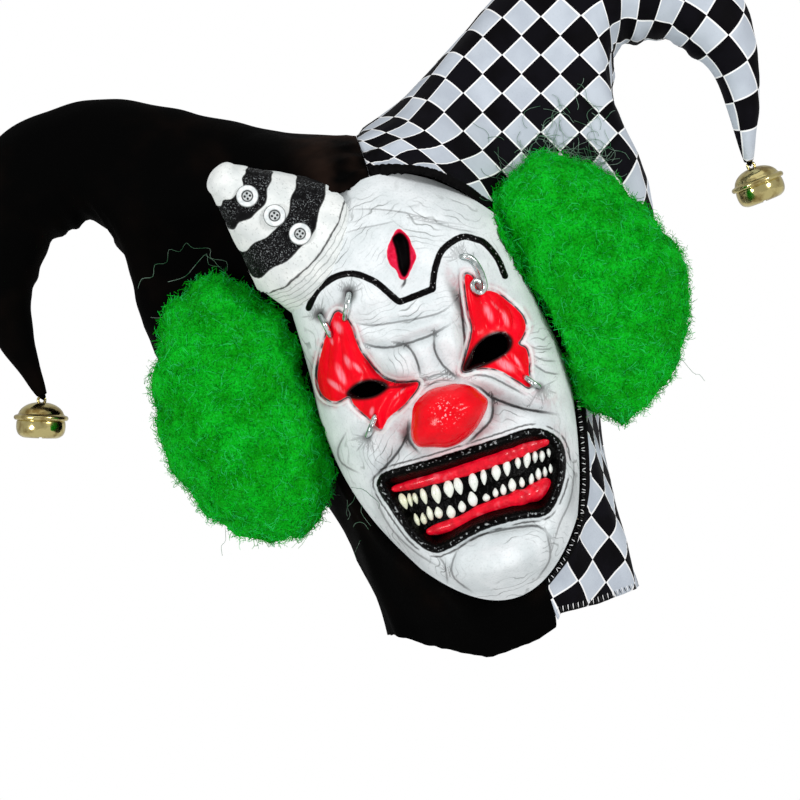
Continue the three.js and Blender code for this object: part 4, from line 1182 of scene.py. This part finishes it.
thread, paint, sockets = finish("sewing_thread", Roughness=0.6)
paint.join(paint.value("pale").mix(colour("0a0a0a"), colour("f2f2f2")), sockets["Base Color"])
build, inputs = new_tree("overlock", Length="Float", Thickness="Float", Finish="Material")
bead = build.node("GeometryNodeMeshUVSphere", None, {"Segments": 6, "Rings": 4, "Radius": 1.0})
bead = build.node("GeometryNodeSetShadeSmooth", None, {"Geometry": bead})
size = build.node("ShaderNodeCombineXYZ", None,
                  {"X": inputs["Length"], "Y": inputs["Thickness"], "Z": inputs["Thickness"]})
row = build.node("GeometryNodeInstanceOnPoints", None,
                 {"Points": inputs["Geometry"], "Instance": bead, "Scale": size,
                  "Rotation": kept_on(build, "turn", "FLOAT_VECTOR")})
stitch_tree = close_tree(build, row, inputs["Finish"])
check_tree = tree_of(check_half)


def spaced(line, step):
    """Points at even steps along a line, and the way it runs at each."""
    walked = np.concatenate([[0], np.cumsum(np.hypot(*np.diff(line, axis=0).T))])
    marks = np.arange(0, walked[-1], step)
    points = np.stack([np.interp(marks, walked, line[:, k]) for k in (0, 1)], 1)
    ways = np.gradient(points, axis=0)
    return points, np.arctan2(ways[:, 1], ways[:, 0])


def stitched(name, line, leans, long, pale, lift=0.0):
    """A row of stitches on the cloth along a line, each turned from the way the line runs."""
    points, ways = spaced(line, STITCH_STEP)
    depth = [front_of(check_tree, *place) for place in points]
    on = np.array([d is not None and d < FRONT_Y for d in depth])
    count = np.arange(len(points))[on]
    points, ways, depth = points[on], ways[on], np.array([d for d, k in zip(depth, on) if k])
    row = made(name, np.stack([points[:, 0], depth - STITCH_THICK - lift, points[:, 1]], 1), [])
    turns = ways + np.radians(np.array(leans)[count % len(leans)])
    mark(row, "turn", np.stack([0 * turns, -turns, 0 * turns], 1))
    mark(row, "pale", np.array(pale)[count % len(pale)])
    grown(row, stitch_tree, Length=long * MM, Thickness=STITCH_THICK * MM, Finish=thread)
    return worn(row, "hood_check")


chin_edge = face_rim[(face_rim[:, 0] > CHIN_EDGE_FROM[0]) & (face_rim[:, 1] < CHIN_EDGE_FROM[1])]
ways = np.gradient(chin_edge, axis=0)
chin_edge = chin_edge + ROLL_OUT * np.stack([ways[:, 1], -ways[:, 0]], 1) / np.hypot(*ways.T)[:, None]
chin_edge = chin_edge[np.argsort(chin_edge[:, 1])]
roll, _ = spaced(chin_edge, ROLL_STEP)
depth = np.array([front_of(check_tree, *place) or 0 for place in roll])
roll = np.stack([roll[:, 0], depth - FACE_GAP, roll[:, 1]], 1)[depth < FRONT_Y]
worn(made("chin_rolled_edge", *swept(roll, ROLL_RADIUS, 10), hood_lining), "hood_check")
stitched("chin_stitches", chin_edge, CHIN_LEANS, RIM_STITCH, CHIN_WHITE, ROLL_RADIUS + 0.2)
hem_x = np.linspace(*HEM_SPAN, 60)
hem_line = np.stack([hem_x, np.interp(hem_x, *np.array(HEM).T) + HEM_STITCH + 0.3], 1)
stitched("hem_stitches", hem_line, HEM_LEANS, HEM_STITCH, HEM_WHITE)

# Cone hat
# A small cone cast in latex over the left brow: black woven-looking bands between raised white ones with
# wavy edges, a white rounded tip, and a base that runs out on the forehead.
HAT = {"x": -41, "y": -62, "z": -39, "base": 32, "tip": 8.6, "cap": 6, "length": 55.5, "sunk": 26}
HAT_AXIS = Vector((-0.53, -0.39, 0.755)).normalized()
HAT_ROUND = 112
HAT_STEPS = 78
CAP_STEPS = 16
WHITE_BANDS = [(-30, 8.7), (21.7, 33), (44.4, 80)]
BAND_RISE = 0.4
BAND_WAVE = 1.0
HAT_WALL = 2.2

hat_turn = Vector((0, 0, 1)).rotation_difference(HAT_AXIS).to_matrix()
hat_place = Vector((HAT["x"], HAT["y"], HAT["z"]))
hat_end = HAT["length"] - HAT["cap"]


def hat_radius(height):
    return np.where(height > 0, HAT["base"] + (HAT["tip"] - HAT["base"]) * height / hat_end, HAT["base"] - 1)


def hat_spot(radius, angle, height):
    return hat_place + hat_turn @ Vector((radius * math.cos(angle), radius * math.sin(angle), height))


def white_level(height, angle):
    """Distance into the nearest white band, negative in a black one."""
    level = height + BAND_WAVE * (np.sin(4 * angle + 1) + 0.45 * np.sin(9 * angle))
    return np.max([np.minimum(level - low, high - level) for low, high in WHITE_BANDS], axis=0)


foot = []
for k in range(HAT_ROUND):
    angle = 2 * math.pi * k / HAT_ROUND
    corners = [hat_spot(float(hat_radius(h)), angle, h) for h in (hat_end, 0.001, -HAT["sunk"])]
    for start, end, top, low in zip(corners, corners[1:], (hat_end, 0), (0, -HAT["sunk"])):
        hit, _, _, far = hood_tree.ray_cast(start, (end - start).normalized(), (end - start).length)
        height = top - (top - low) * far / (end - start).length if hit else -HAT["sunk"]
        if hit:
            break
    foot.append(height)
foot = evened(foot, 3, "wrap") - 0.5
angles = 2 * math.pi * np.arange(HAT_ROUND) / HAT_ROUND
rows = []
for k in range(HAT_STEPS + CAP_STEPS):
    if k < HAT_STEPS:
        height = foot + (hat_end - foot) * k / (HAT_STEPS - 1)
        radius = hat_radius(height)
    else:
        bow = (k - HAT_STEPS + 1) / CAP_STEPS * math.pi / 2 * 0.985
        height = np.full(HAT_ROUND, hat_end + HAT["cap"] * math.sin(bow))
        radius = np.full(HAT_ROUND, HAT["tip"] * math.cos(bow) ** 0.8)
    raised = smoothstep(white_level(height, angles), -0.4, 0.4) * np.minimum(1, radius / 8)
    radius = radius + BAND_RISE * raised
    rows.append(np.stack([radius * np.cos(angles), radius * np.sin(angles), height, height, angles], -1))
rows = np.array(rows)
local = rows[..., :3] + 0.22 * ripple(rows[..., :3], 9, 31)[..., None] * [1, 1, 0.3]
world = local @ np.array(hat_turn).T + np.array(hat_place)
points = np.concatenate([world, rows[..., 3:]], -1).reshape(-1, 5)
ring = np.arange(len(points)).reshape(-1, HAT_ROUND)
after = np.roll(ring, -1, 1)
faces = np.stack([ring[:-1], after[:-1], after[1:], ring[1:]], -1).reshape(-1, 4).tolist()
points = np.vstack([points, np.append(np.array(hat_place + HAT_AXIS * HAT["length"]), [HAT["length"], 0])])
faces += [(a, b, len(points) - 1) for a, b in zip(ring[-1], after[-1])]
hat_finish, paint, sockets = finish("hat_latex", Specular_IOR_Level=0.08)
white = paint.value("white") + (paint.noise(2, 2) - 0.5) * 0.3
fleck = paint.noise(0.7, 2).between(0.54, 0.66) * paint.noise(9, 2).between(0.34, 0.56)
black = (fleck * 0.6).mix(paint.clouds(5, "040405", "0c0c0e"), colour("a6abad"))
streak = paint.noise(1.3, 4)
pale = paint.clouds(9, "eef1ef", "dce1e0")
pale = (streak.between(0.57, 0.7) * 0.35).mix(pale, colour("8b918f"))
height = paint.value("height") + (paint.noise(9, 2) - 0.5) * 3
# Painted shade: dark lines in the wrinkles where the hat runs out on the forehead
fold = paint.math("FRACT", height * 0.36 + paint.noise(12, 1)).near(0.5, 0.02, 0.16)
pale = (fold * height.below(-1, 0) * 0.5).mix(pale, colour("6c726f"))
# Dark outlines at the edges of the white bands, and a line of painted shade round the foot of the cone
line = paint.math("MAXIMUM", white.near(-0.1, 0.15, 0.6), height.near(0, 0.25, 0.9)) * 0.85
paint.join(line.mix(white.between(-0.2, 0.2).mix(black, pale), colour("161616")), sockets["Base Color"])
paint.join(0.5 + streak * 0.2, sockets["Roughness"])
raise_skin(paint, sockets, streak * 0.5 + fleck * white.below(-0.2, 0.2) * 0.8, 0.5, 0.8)
hat = made("hat_cone", points, faces, hat_finish)
mark(hat, "white", white_level(points[:, 3], points[:, 4]))
mark(hat, "height", points[:, 3])
worn(thickened(hat, HAT_WALL), "cone_hat", "cone_hat")

# Hat buttons
# Three white four-hole buttons of cast resin with a broad flat rim and a dished middle, glued up the front
# of the cone.
BUTTON = {"radius": 5.4, "thick": 2.4, "dish": 0.8, "hole": 0.62, "hole_ring": 1.3, "dish_radius": 2.9}
BUTTON_HEIGHTS = [40, 25.5, 12]
BUTTON_FACING = Vector((0.12, -1, -0.1))
BUTTON_ROUND = 88
BUTTON_RINGS = 34

button_white, paint, sockets = finish("button_resin", Coat_Weight=0.25, Coat_Roughness=0.2)
pale = paint.clouds(2.5, "f3f6f6", "d3dadb")
# Dark in the holes, the groove and the dish, partly dirt, partly painted shade, with a painted shadow round
# the edge
paint.join((paint.value("dirt_and_shade") * 0.95).mix(pale, colour("1d2123")), sockets["Base Color"])
paint.join(0.34 + paint.noise(1.5, 2) * 0.2, sockets["Roughness"])
raise_skin(paint, sockets, paint.noise(0.8, 3), 0.2, 0.5)


def button_top(x, y):
    """Height of a button's face, and how dark it is painted: dirt and painted shade in its holes, groove and
    dish, and a painted shadow round its edge.
    """
    r = np.hypot(x, y)
    holes = np.zeros_like(r)
    for turn in math.pi / 4 + math.pi / 2 * np.arange(4):
        away = np.hypot(x - BUTTON["hole_ring"] * math.cos(turn), y - BUTTON["hole_ring"] * math.sin(turn))
        holes = np.maximum(holes, 1 - smoothstep(away, BUTTON["hole"] - 0.2, BUTTON["hole"] + 0.05))
    dish = 1 - smoothstep(r, BUTTON["dish_radius"] - 0.4, BUTTON["dish_radius"] + 0.2)
    edge = smoothstep(r, BUTTON["radius"] - 0.9, BUTTON["radius"]) ** 2
    groove = ridge(r, BUTTON["dish_radius"] - 0.35, 0.3)
    height = BUTTON["thick"] - BUTTON["dish"] * dish - 0.9 * edge - 0.3 * groove - 1.1 * holes
    dirt_and_shade = holes + 0.9 * groove + 0.3 * dish + smoothstep(r, BUTTON["radius"] - 0.5, BUTTON["radius"])
    return height, np.clip(dirt_and_shade, 0, 1)


slope = math.atan2(HAT["base"] - HAT["tip"], hat_end)
ahead = hat_turn.inverted() @ BUTTON_FACING
facing = math.atan2(ahead.y, ahead.x)
spread = [0, *np.linspace(0.12, BUTTON["radius"], BUTTON_RINGS)]
points, faces = turned([(0, 0), (BUTTON["radius"], 0), *[(r, 1) for r in spread[::-1]]], BUTTON_ROUND)
tops, dirt_and_shade = button_top(points[:, 0], points[:, 1])
upper = points[:, 2] > 0.5
points[:, 2] = np.where(upper, tops, 0)
for k, height in enumerate(BUTTON_HEIGHTS, 1):
    reach = float(hat_radius(height)) + (BAND_RISE + FACE_GAP) / math.cos(slope)
    turn = Matrix.Rotation(facing, 3, "Z") @ Matrix.Rotation(math.pi / 2 - slope, 3, "Y")
    seat = Matrix.Rotation(facing, 3, "Z") @ Vector((reach, 0, height))
    placed = points @ np.array(hat_turn @ turn).T + np.array(hat_place + hat_turn @ seat)
    button = made(f"hat_button_face_{k}", placed, faces, button_white)
    mark(button, "dirt_and_shade", np.where(upper, dirt_and_shade, 0))
    worn(button, "button", f"hat_button_{k}")

# Wire pins
# Bent steel wire: four staples pushed through the latex at the brow and cheeks, and a hook that curls
# under the right brow.
WIRE = 1.45
PIN_RISE = 3.2
PINS = [
    ("brow_pin_outer", (-43.4, -77.8), (-41.7, -88.6)),
    ("brow_pin_inner", (-27, -72.4), (-33, -83.2)),
    ("cheek_pin_left", (-33.6, -131.6), (-40, -139.6)),
    ("cheek_pin_right", (39.9, -136.4), (44.8, -143)),
]
PIN_STEPS = 24
HOOK = [(28.8, -72.6), (31.4, -72.9), (33.8, -75), (35.3, -79), (36, -84.4), (35.4, -89.6), (32.6, -91.6),
        (30, -89.6), (30, -86.6), (32, -85.2), (33.8, -87)]
HOOK_STEPS = 60
WIRE_SIDES = 14

steel, paint, sockets = finish("bent_steel", Metallic=1.0)
paint.join(paint.clouds(3, "eef6f5", "a4b0ae"), sockets["Base Color"])
paint.join(0.1 + paint.noise(1.5, 2) * 0.2, sockets["Roughness"])
raise_skin(paint, sockets, paint.noise(1.2, 2), 0.05, 0.5)
for node, start, end in PINS:
    share = np.linspace(0, 1, PIN_STEPS)
    way = np.outer(1 - share, start) + np.outer(share, end)
    depth = np.array([front_of(face_tree, x, z) for x, z in way])
    depth = np.linspace(depth[0], depth[-1], PIN_STEPS) * 0.5 + depth * 0.5
    path = np.stack([way[:, 0], depth - PIN_RISE * np.sin(math.pi * share) ** 0.6 + 0.4, way[:, 1]], 1)
    worn(made(node + "_wire", *swept(path, WIRE, WIRE_SIDES), steel), "pin", node)
share = np.linspace(0, 1, HOOK_STEPS)
way = along(HOOK, share)
depth = evened([front_of(face_tree, x, z) for x, z in way], 6)
path = np.stack([way[:, 0], depth - PIN_RISE * 0.8 * smoothstep(share, 0, 0.12), way[:, 1]], 1)
worn(made("brow_hook_wire", *swept(path, WIRE * (1.1 - 0.35 * share), WIRE_SIDES), steel), "pin", "brow_hook")

# Bells
# Two stamped brass jingle bells with a rolled flange and a slotted base, each sewn by its wire eye under
# the tip of a horn.
BELL_SIDE = [(0, -17.6), (7.2, -17.4), (9.2, -16.9), (10.8, -15.8), (11.7, -14), (12, -11.8), (11.9, -9.6),
             (11.6, -8.9), (12.4, -8.8), (13, -8.4), (13.3, -7.7), (13.1, -6.9), (12.5, -6.4),
             (11.5, -6.1), (11, -5.4), (10.4, -4.2), (8.8, -2.5), (6.2, -1), (3.2, -0.2), (0, 0)]
BELL = {"eye": 2.4, "eye_wire": 0.7, "slot": 1.8, "slot_reach": 9}
BRASS = 1.2
BELL_INSIDE = [(0, -17.6 + BRASS), (7, -17.3 + BRASS), (9.6, -14.6), (10.6, -11.8), (10.2, -7), (9, -4.2),
               (5.6, -2.2), (0, -BRASS)]
BELLS = [("bell_left", -1, -20), ("bell_right", 1, 3)]
BELL_ROUND = 80

brass, paint, sockets = finish("polished_brass", Metallic=1.0)
tarnish = paint.noise(5, 4)
paint.join(tarnish.between(0.4, 0.75).mix(colour("d8ca8c"), colour("8c7440")), sockets["Base Color"])
paint.join(0.1 + tarnish.between(0.3, 0.8) * 0.22, sockets["Roughness"])
raise_skin(paint, sockets, paint.noise(6, 2) + paint.noise(1.2, 2) * 0.15, 0.6, 0.4)


def slots(piece):
    """Cut the two crossed slots through the base."""
    reach, half, low = BELL["slot_reach"], BELL["slot"] / 2, BELL_SIDE[0][1]
    for wide, deep in (reach, half), (half, reach):
        corners = [(sx * wide, sy * deep, z) for z in (low - 1, low + 4)
                   for sx, sy in ((-1, -1), (1, -1), (1, 1), (-1, 1))]
        sides = [(0, 3, 2, 1), (4, 5, 6, 7), (0, 1, 5, 4), (1, 2, 6, 5), (2, 3, 7, 6), (3, 0, 4, 7)]
        cutter = made("slot_cutter", np.array(corners), sides)
        cut = piece.modifiers.new("slot", "BOOLEAN")
        cut.operation = "DIFFERENCE"
        cut.object = cutter
        settled(piece)
        bpy.data.objects.remove(cutter)


outside = smooth_line(BELL_SIDE, steps=3)
outside[[0, -1], 0] = 0
outside[:, 0] = np.maximum(outside[:, 0], 0)
inside = smooth_line(BELL_INSIDE, steps=3)
inside[[0, -1], 0] = 0
for node, side, tilt in BELLS:
    points, faces = turned(outside, BELL_ROUND)
    hollow, hollow_faces = turned(inside, BELL_ROUND)
    shell = made(node + "_brass", np.vstack([points, hollow]),
                 [*faces, *[[k + len(points) for k in face[::-1]] for face in hollow_faces]], brass)
    slots(shell)
    ring = np.linspace(0, 2 * math.pi, 40)
    loop = (BELL["eye"] - BELL["eye_wire"]) * np.stack([np.cos(ring), 0 * ring, np.sin(ring)], 1)
    loop = loop + [0, 0, BELL["eye"] - 2 * BELL["eye_wire"]]
    eye = made(node + "_eye", *swept(loop, BELL["eye_wire"], 12), brass)
    tip = along(HOOD_RIBS, np.array(1.0))
    hang = Matrix.Translation(Vector((side * (tip[0] + tip[2]) / 2 + TIP_SWAY, SEAM_Y, tip[1])) * MM)
    hang = hang @ Matrix.Rotation(math.radians(-tilt), 4, "Y")
    drop = Matrix.Translation((0, 0, (-2 * BELL["eye"] + 2 * BELL["eye_wire"] - FACE_GAP) * MM))
    for piece in shell, eye:
        piece.data.transform(hang @ drop)
    worn(shell, "bell", node)
    worn(eye, "bell")

# Hair tufts
# Two puffs of teased and crimped wool in vivid green, glued between the face and the horns: a dense
# matted body, short crimped curls over it, finer fuzz outside and a few threads pulled loose.
WOOL_ABOVE = 2.2
# Lumps of the matted body: height and size
LUMPS = [(1.6, 17), (0.8, 6)]
THREAD = 0.12
THREAD_STEP = 1.7
THREAD_ABOVE = 0.7
THREAD_SWAY = 0.24
# Where a thread hangs past the cloth
THREAD_DEPTH = -45
# Each tuft: middle and half sizes, and how far it reaches seen from the front, every 20 degrees
TUFTS = {
    "hair_left": ((-97, -43, -110), (37, 31, 66),
                  [37, 40, 50, 57, 68, 64, 50, 43, 39, 39, 41, 44, 52, 60, 69, 61, 47, 41]),
    "hair_right": ((89, -47, -108), (40, 31, 68),
                   [43, 41, 43, 49, 62, 73, 70, 53, 41, 35, 36, 38, 56, 65, 58, 50, 45, 43]),
}
# Fibres of each kind: how many, how long, how thick, how frizzy, and how far they lean over
FIBRES = {"curls": (6000, 5.5, 0.13, 2.4, 1.5), "fuzz": (3000, 6, 0.09, 2.8, 1.15)}
# Threads pulled out of each tuft, by the points in X and Z that they pass
PULLED = {
    "hair_left": [
        [(-123.1, -37.3), (-119.7, -33.5), (-114.4, -34.2), (-111.6, -29.1), (-105.9, -29.9), (-102.9, -24.3),
         (-98.3, -26.9), (-94, -23.9), (-91.4, -27.5), (-84, -30), (-85, -34.6), (-78.5, -38.4),
         (-79.5, -43)],
        [(-108.3, -38.9), (-99.6, -39.1), (-92.9, -35.3), (-86.3, -32), (-86.9, -37.2), (-81.3, -40.2)],
        [(-118, -155), (-120.5, -165.3), (-123.5, -167.6), (-124.5, -172.2)],
    ],
    "hair_right": [[(114, -150), (117.8, -159.8), (120.4, -161.6), (121.8, -165.3)]],
}
# Loose threads on the cloth by each tuft: how many, and the box in X and Z where they start
LOOSE = {
    "hair_left": [(10, (-128, -66), (-62, -44)), (9, (-66, -50), (-188, -160))],
    "hair_right": [(60, (56, 118), (-62, -22)), (110, (58, 112), (-58, -36))],
}

wool, paint, sockets = finish("green_wool", Sheen_Weight=0.04, Sheen_Roughness=0.5,
                              Sheen_Tint=colour("30e090"), Specular_IOR_Level=0.05)
strand = paint.value("strand")
green = paint.clouds(13, "02ac0a", "05d022")
green = (strand.between(0.66, 0.95) * 0.65).mix(green, colour("3cd884"))
green = (strand.below(0, 0.3) * 0.5).mix(green, colour("046a0c"))
paint.join(green, sockets["Base Color"])
paint.join(0.6 + strand * 0.2, sockets["Roughness"])
wool_mat, paint, sockets = finish("matted_wool", Roughness=0.85, Specular_IOR_Level=0.1)
curl = paint.noise(1.1, 4)
mat_green = paint.clouds(13, "02a20c", "04c020")
# Painted shade in the low parts of the curl relief, and painted highlight on its tops
mat_green = (curl.below(0.34, 0.5) * 0.6).mix(mat_green, colour("03560a"))
mat_green = (curl.between(0.56, 0.7) * 0.5).mix(mat_green, colour("2cc864"))
paint.join(mat_green, sockets["Base Color"])
raise_skin(paint, sockets, curl, 1.6, 0.9)
loose_thread, paint, sockets = finish("loose_thread", Roughness=0.6)
paint.join(paint.clouds(5, "1f6b3e", "86a090"), sockets["Base Color"])



def drawn(build, low, high, seed):
    """A random number for each point."""
    return build.node("FunctionNodeRandomValue", {"data_type": "FLOAT"},
                      {"Min": low, "Max": high, "Seed": seed}, out=1)


build, inputs = new_tree("teased_wool", Strands="Float", Length="Float", Thickness="Float", Frizz="Float",
                         Lean="Float", Seed="Int", Finish="Material")
scatter = build.node("GeometryNodeDistributePointsOnFaces", {"distribute_method": "RANDOM"},
                     {"Mesh": inputs["Geometry"], "Density": inputs["Strands"], "Seed": inputs["Seed"],
                      "Selection": build.math("GREATER_THAN", kept_on(build, "outer"), 0.5)})
upright = Shade(build.tree, scatter.socket.node.outputs["Rotation"])
draw = drawn(build, 0.0, 1.0, inputs["Seed"] + 1)
roots = build.node("GeometryNodeStoreNamedAttribute", {"data_type": "FLOAT", "domain": "POINT"},
                   {"Geometry": scatter, "Name": "strand", "Value": draw})
over = drawn(build, 0.7, 1.0, inputs["Seed"] + 2) * inputs["Lean"]
spin = drawn(build, -3.1, 3.1, inputs["Seed"] + 4)
tilt = build.node("ShaderNodeCombineXYZ", None, {"X": over, "Z": spin})
tilt = build.node("FunctionNodeEulerToRotation", None, {"Euler": tilt})
lean = build.node("FunctionNodeRotateRotation", {"rotation_space": "LOCAL"},
                  {"Rotation": upright, "Rotate By": tilt})
long = drawn(build, 0.6, 1.15, inputs["Seed"] + 3) * inputs["Length"]
line = build.node("GeometryNodeCurvePrimitiveLine", None, {"Start": (0, 0, -0.3), "End": (0, 0, 0.7)})
line = build.node("GeometryNodeResampleCurve", {"mode": "COUNT"}, {"Curve": line, "Count": 5})
strands = build.node("GeometryNodeInstanceOnPoints", None,
                     {"Points": roots, "Instance": line, "Rotation": lean, "Scale": long})
strands = build.node("GeometryNodeRealizeInstances", None, {"Geometry": strands})
own = kept_on(build, "strand")
apart = vector(build, "ADD", build.node("GeometryNodeInputPosition"),
               build.node("ShaderNodeCombineXYZ", None, {"X": own * 7, "Y": own * 3, "Z": own * 5}))
offset = None
for scale, share in (160.0, 2.4), (420.0, 2.0):
    curl = build.node("ShaderNodeTexNoise", None, {"Vector": apart, "Scale": scale, "Detail": 0.0}, "Color")
    curl = vector(build, "SUBTRACT", curl, (0.5, 0.5, 0.5))
    curl = build.node("ShaderNodeVectorMath", {"operation": "SCALE"},
                      {0: curl, "Scale": inputs["Frizz"] * share})
    offset = vector(build, "ADD", offset, curl) if offset else curl
strands = build.node("GeometryNodeSetPosition", None, {"Geometry": strands, "Offset": offset})
section = build.node("GeometryNodeCurvePrimitiveCircle", {"mode": "RADIUS"},
                     {"Resolution": 3, "Radius": inputs["Thickness"]})
tubes = build.node("GeometryNodeCurveToMesh", None, {"Curve": strands, "Profile Curve": section})
tubes = build.node("GeometryNodeSetShadeSmooth", None, {"Geometry": tubes})
wool_tree = close_tree(build, tubes, inputs["Finish"])


def fibres_on(base, name, kind, seed):
    """Wool of one kind over the outer part of a base, as a piece of its own."""
    count, length, thick, frizz, lean = FIBRES[kind]
    hair = bpy.data.objects.new(name, base.data.copy())
    bpy.context.scene.collection.objects.link(hair)
    area = sum(p.area for p in base.data.polygons)
    grown(hair, wool_tree, Strands=count / area, Length=length * MM, Thickness=thick * MM,
          Frizz=frizz * MM, Lean=lean, Seed=seed, Finish=wool)
    return worn(hair, "hair")


def joined(name, meshes, material):
    """Several sets of corners and faces as one piece."""
    points, faces, first = [], [], 0
    for corners, sides in meshes:
        faces += [[k + first for k in side] for side in sides]
        points.append(corners)
        first += len(corners)
    return made(name, np.vstack(points), faces, material)


for seed, (node, (middle, size, reaches)) in enumerate(TUFTS.items(), 40):
    core = bpy.data.objects.new(node + "_mat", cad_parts[node].data.copy())
    bpy.context.scene.collection.objects.link(core)
    core.data.materials.clear()
    core.data.materials.append(wool_mat)
    weld = core.modifiers.new("weld", "WELD")
    weld.merge_threshold = 0.02 * MM
    smooth = core.modifiers.new("smooth", "SUBSURF")
    smooth.levels = 2
    settled(core)
    core.data.polygons.foreach_set("use_smooth", [True] * len(core.data.polygons))
    spots = np.array([v.co for v in core.data.vertices]) / MM
    ways = np.array([v.normal for v in core.data.vertices])
    away = spots - middle
    ahead = away[:, 1] < 6
    outer = ahead | (np.linalg.norm(away / size, axis=1) > 0.93)
    turns = np.degrees(np.arctan2(away[:, 2], away[:, 0])) % 360
    oval = 1 / np.hypot(np.cos(np.radians(turns)) / size[0], np.sin(np.radians(turns)) / size[2])
    grow = (np.interp(turns, np.arange(0, 361, 20), reaches + reaches[:1]) - WOOL_ABOVE) / oval
    spots[:, [0, 2]] += away[:, [0, 2]] * (grow - 1)[:, None]
    (large, large_size), (small, small_size) = LUMPS
    lumps = large * ripple(spots, large_size, seed) + small * ripple(spots, small_size, seed + 3)
    spots += ways * (outer * lumps)[:, None]
    for k in np.flatnonzero(ahead):
        behind = front_of(hood_tree, spots[k, 0], spots[k, 2])
        if behind is not None:
            spots[k, 1] = min(spots[k, 1], behind - WOOL_ABOVE)
    core.data.vertices.foreach_set("co", (spots * MM).ravel())
    mark(core, "outer", outer)
    for kind in FIBRES:
        fibres_on(core, f"{node}_{kind}", kind, seed)
    worn(core, "hair", node)
    draw = np.random.default_rng(seed)
    threads = [np.array(line) for line in PULLED[node]]
    for count, across, up in LOOSE[node]:
        for _ in range(count):
            here = np.array([draw.uniform(*across), draw.uniform(*up)])
            heading, turning = draw.uniform(0, 2 * math.pi), 0
            line = [here]
            for _ in range(draw.integers(5, 12)):
                turning = 0.6 * turning + draw.normal(0, THREAD_SWAY)
                heading += turning
                here = here + THREAD_STEP * np.array([math.cos(heading), math.sin(heading)])
                line.append(here)
            if all(front_of(hood_tree, *place) is not None for place in line):
                threads.append(np.array(line))
    tubes = []
    for line in threads:
        line = smooth_line(line, steps=3)
        depth = evened([front_of(hood_tree, *place) or THREAD_DEPTH for place in line], 2) - THREAD_ABOVE
        tubes.append(swept(np.stack([line[:, 0], depth, line[:, 1]], 1), THREAD, 3))
    worn(joined(node + "_threads", tubes, loose_thread), "hair")

# Stage
# A pale floor well below the hem, a white studio with its light from both sides of the front and from
# above, and the camera level with the face and rolled as the mask leans.
FLOOR_Z = -700.0
FLOOR_REACH = 3000
CAMERA_ROLL = 18.3
CAMERA_AWAY = 6.0
VIEW_MIDDLE = (-20, -50, -128)
VIEW_WIDE = 0.384
# Lamps: the way round from the front, the height in degrees, strength, and how wide the light is
LAMPS = [("key", 44, 8, 1.5, 14), ("fill", -44, 6, 1.32, 16), ("top", 10, 75, 0.35, 60)]
STUDIO_GREY = 0.47

pale_floor, paint, sockets = finish("pale_floor", Roughness=0.9, Specular_IOR_Level=0.0,
                                    Base_Color=(0.95, 0.95, 0.95, 1))
floor_ends = [(FLOOR_REACH * a, FLOOR_REACH * b, FLOOR_Z) for a, b in ((-1, -1), (1, -1), (1, 1), (-1, 1))]
made("floor", np.array(floor_ends), [(0, 1, 2, 3)], pale_floor)

world = bpy.data.worlds.new("white_studio")
world.use_nodes = True
bpy.context.scene.world = world
light = Shade(world.node_tree)
seen = light.node("ShaderNodeLightPath", out="Is Camera Ray")
light.join(light.math("MAXIMUM", seen, STUDIO_GREY), world.node_tree.nodes["Background"].inputs["Strength"])
world.node_tree.nodes["Background"].inputs["Color"].default_value = (1, 1, 1, 1)
for name, around, up, strength, wide in LAMPS:
    lamp = bpy.data.objects.new(name, bpy.data.lights.new(name, "SUN"))
    lamp.data.energy = strength
    lamp.data.angle = math.radians(wide)
    around, up = math.radians(around), math.radians(up)
    source = Vector((math.cos(up) * math.sin(around), -math.cos(up) * math.cos(around), math.sin(up)))
    lamp.rotation_euler = (-source).to_track_quat("-Z", "Y").to_euler()
    bpy.context.scene.collection.objects.link(lamp)

roll = math.radians(CAMERA_ROLL)
right = Vector((math.cos(roll), 0, -math.sin(roll)))
upward = Vector((math.sin(roll), 0, math.cos(roll)))
camera = bpy.data.objects.new("camera", bpy.data.cameras.new("camera"))
camera.data.lens = camera.data.sensor_width * CAMERA_AWAY / VIEW_WIDE
camera.data.clip_end = 1000
turn = Matrix((right, upward, Vector((0, -1, 0)))).transposed().to_4x4()
camera.matrix_world = Matrix.Translation(Vector(VIEW_MIDDLE) * MM + Vector((0, -CAMERA_AWAY, 0))) @ turn
bpy.context.scene.collection.objects.link(camera)
bpy.context.scene.camera = camera
bpy.context.scene.view_settings.view_transform = "Standard"

bpy.context.view_layer.update()
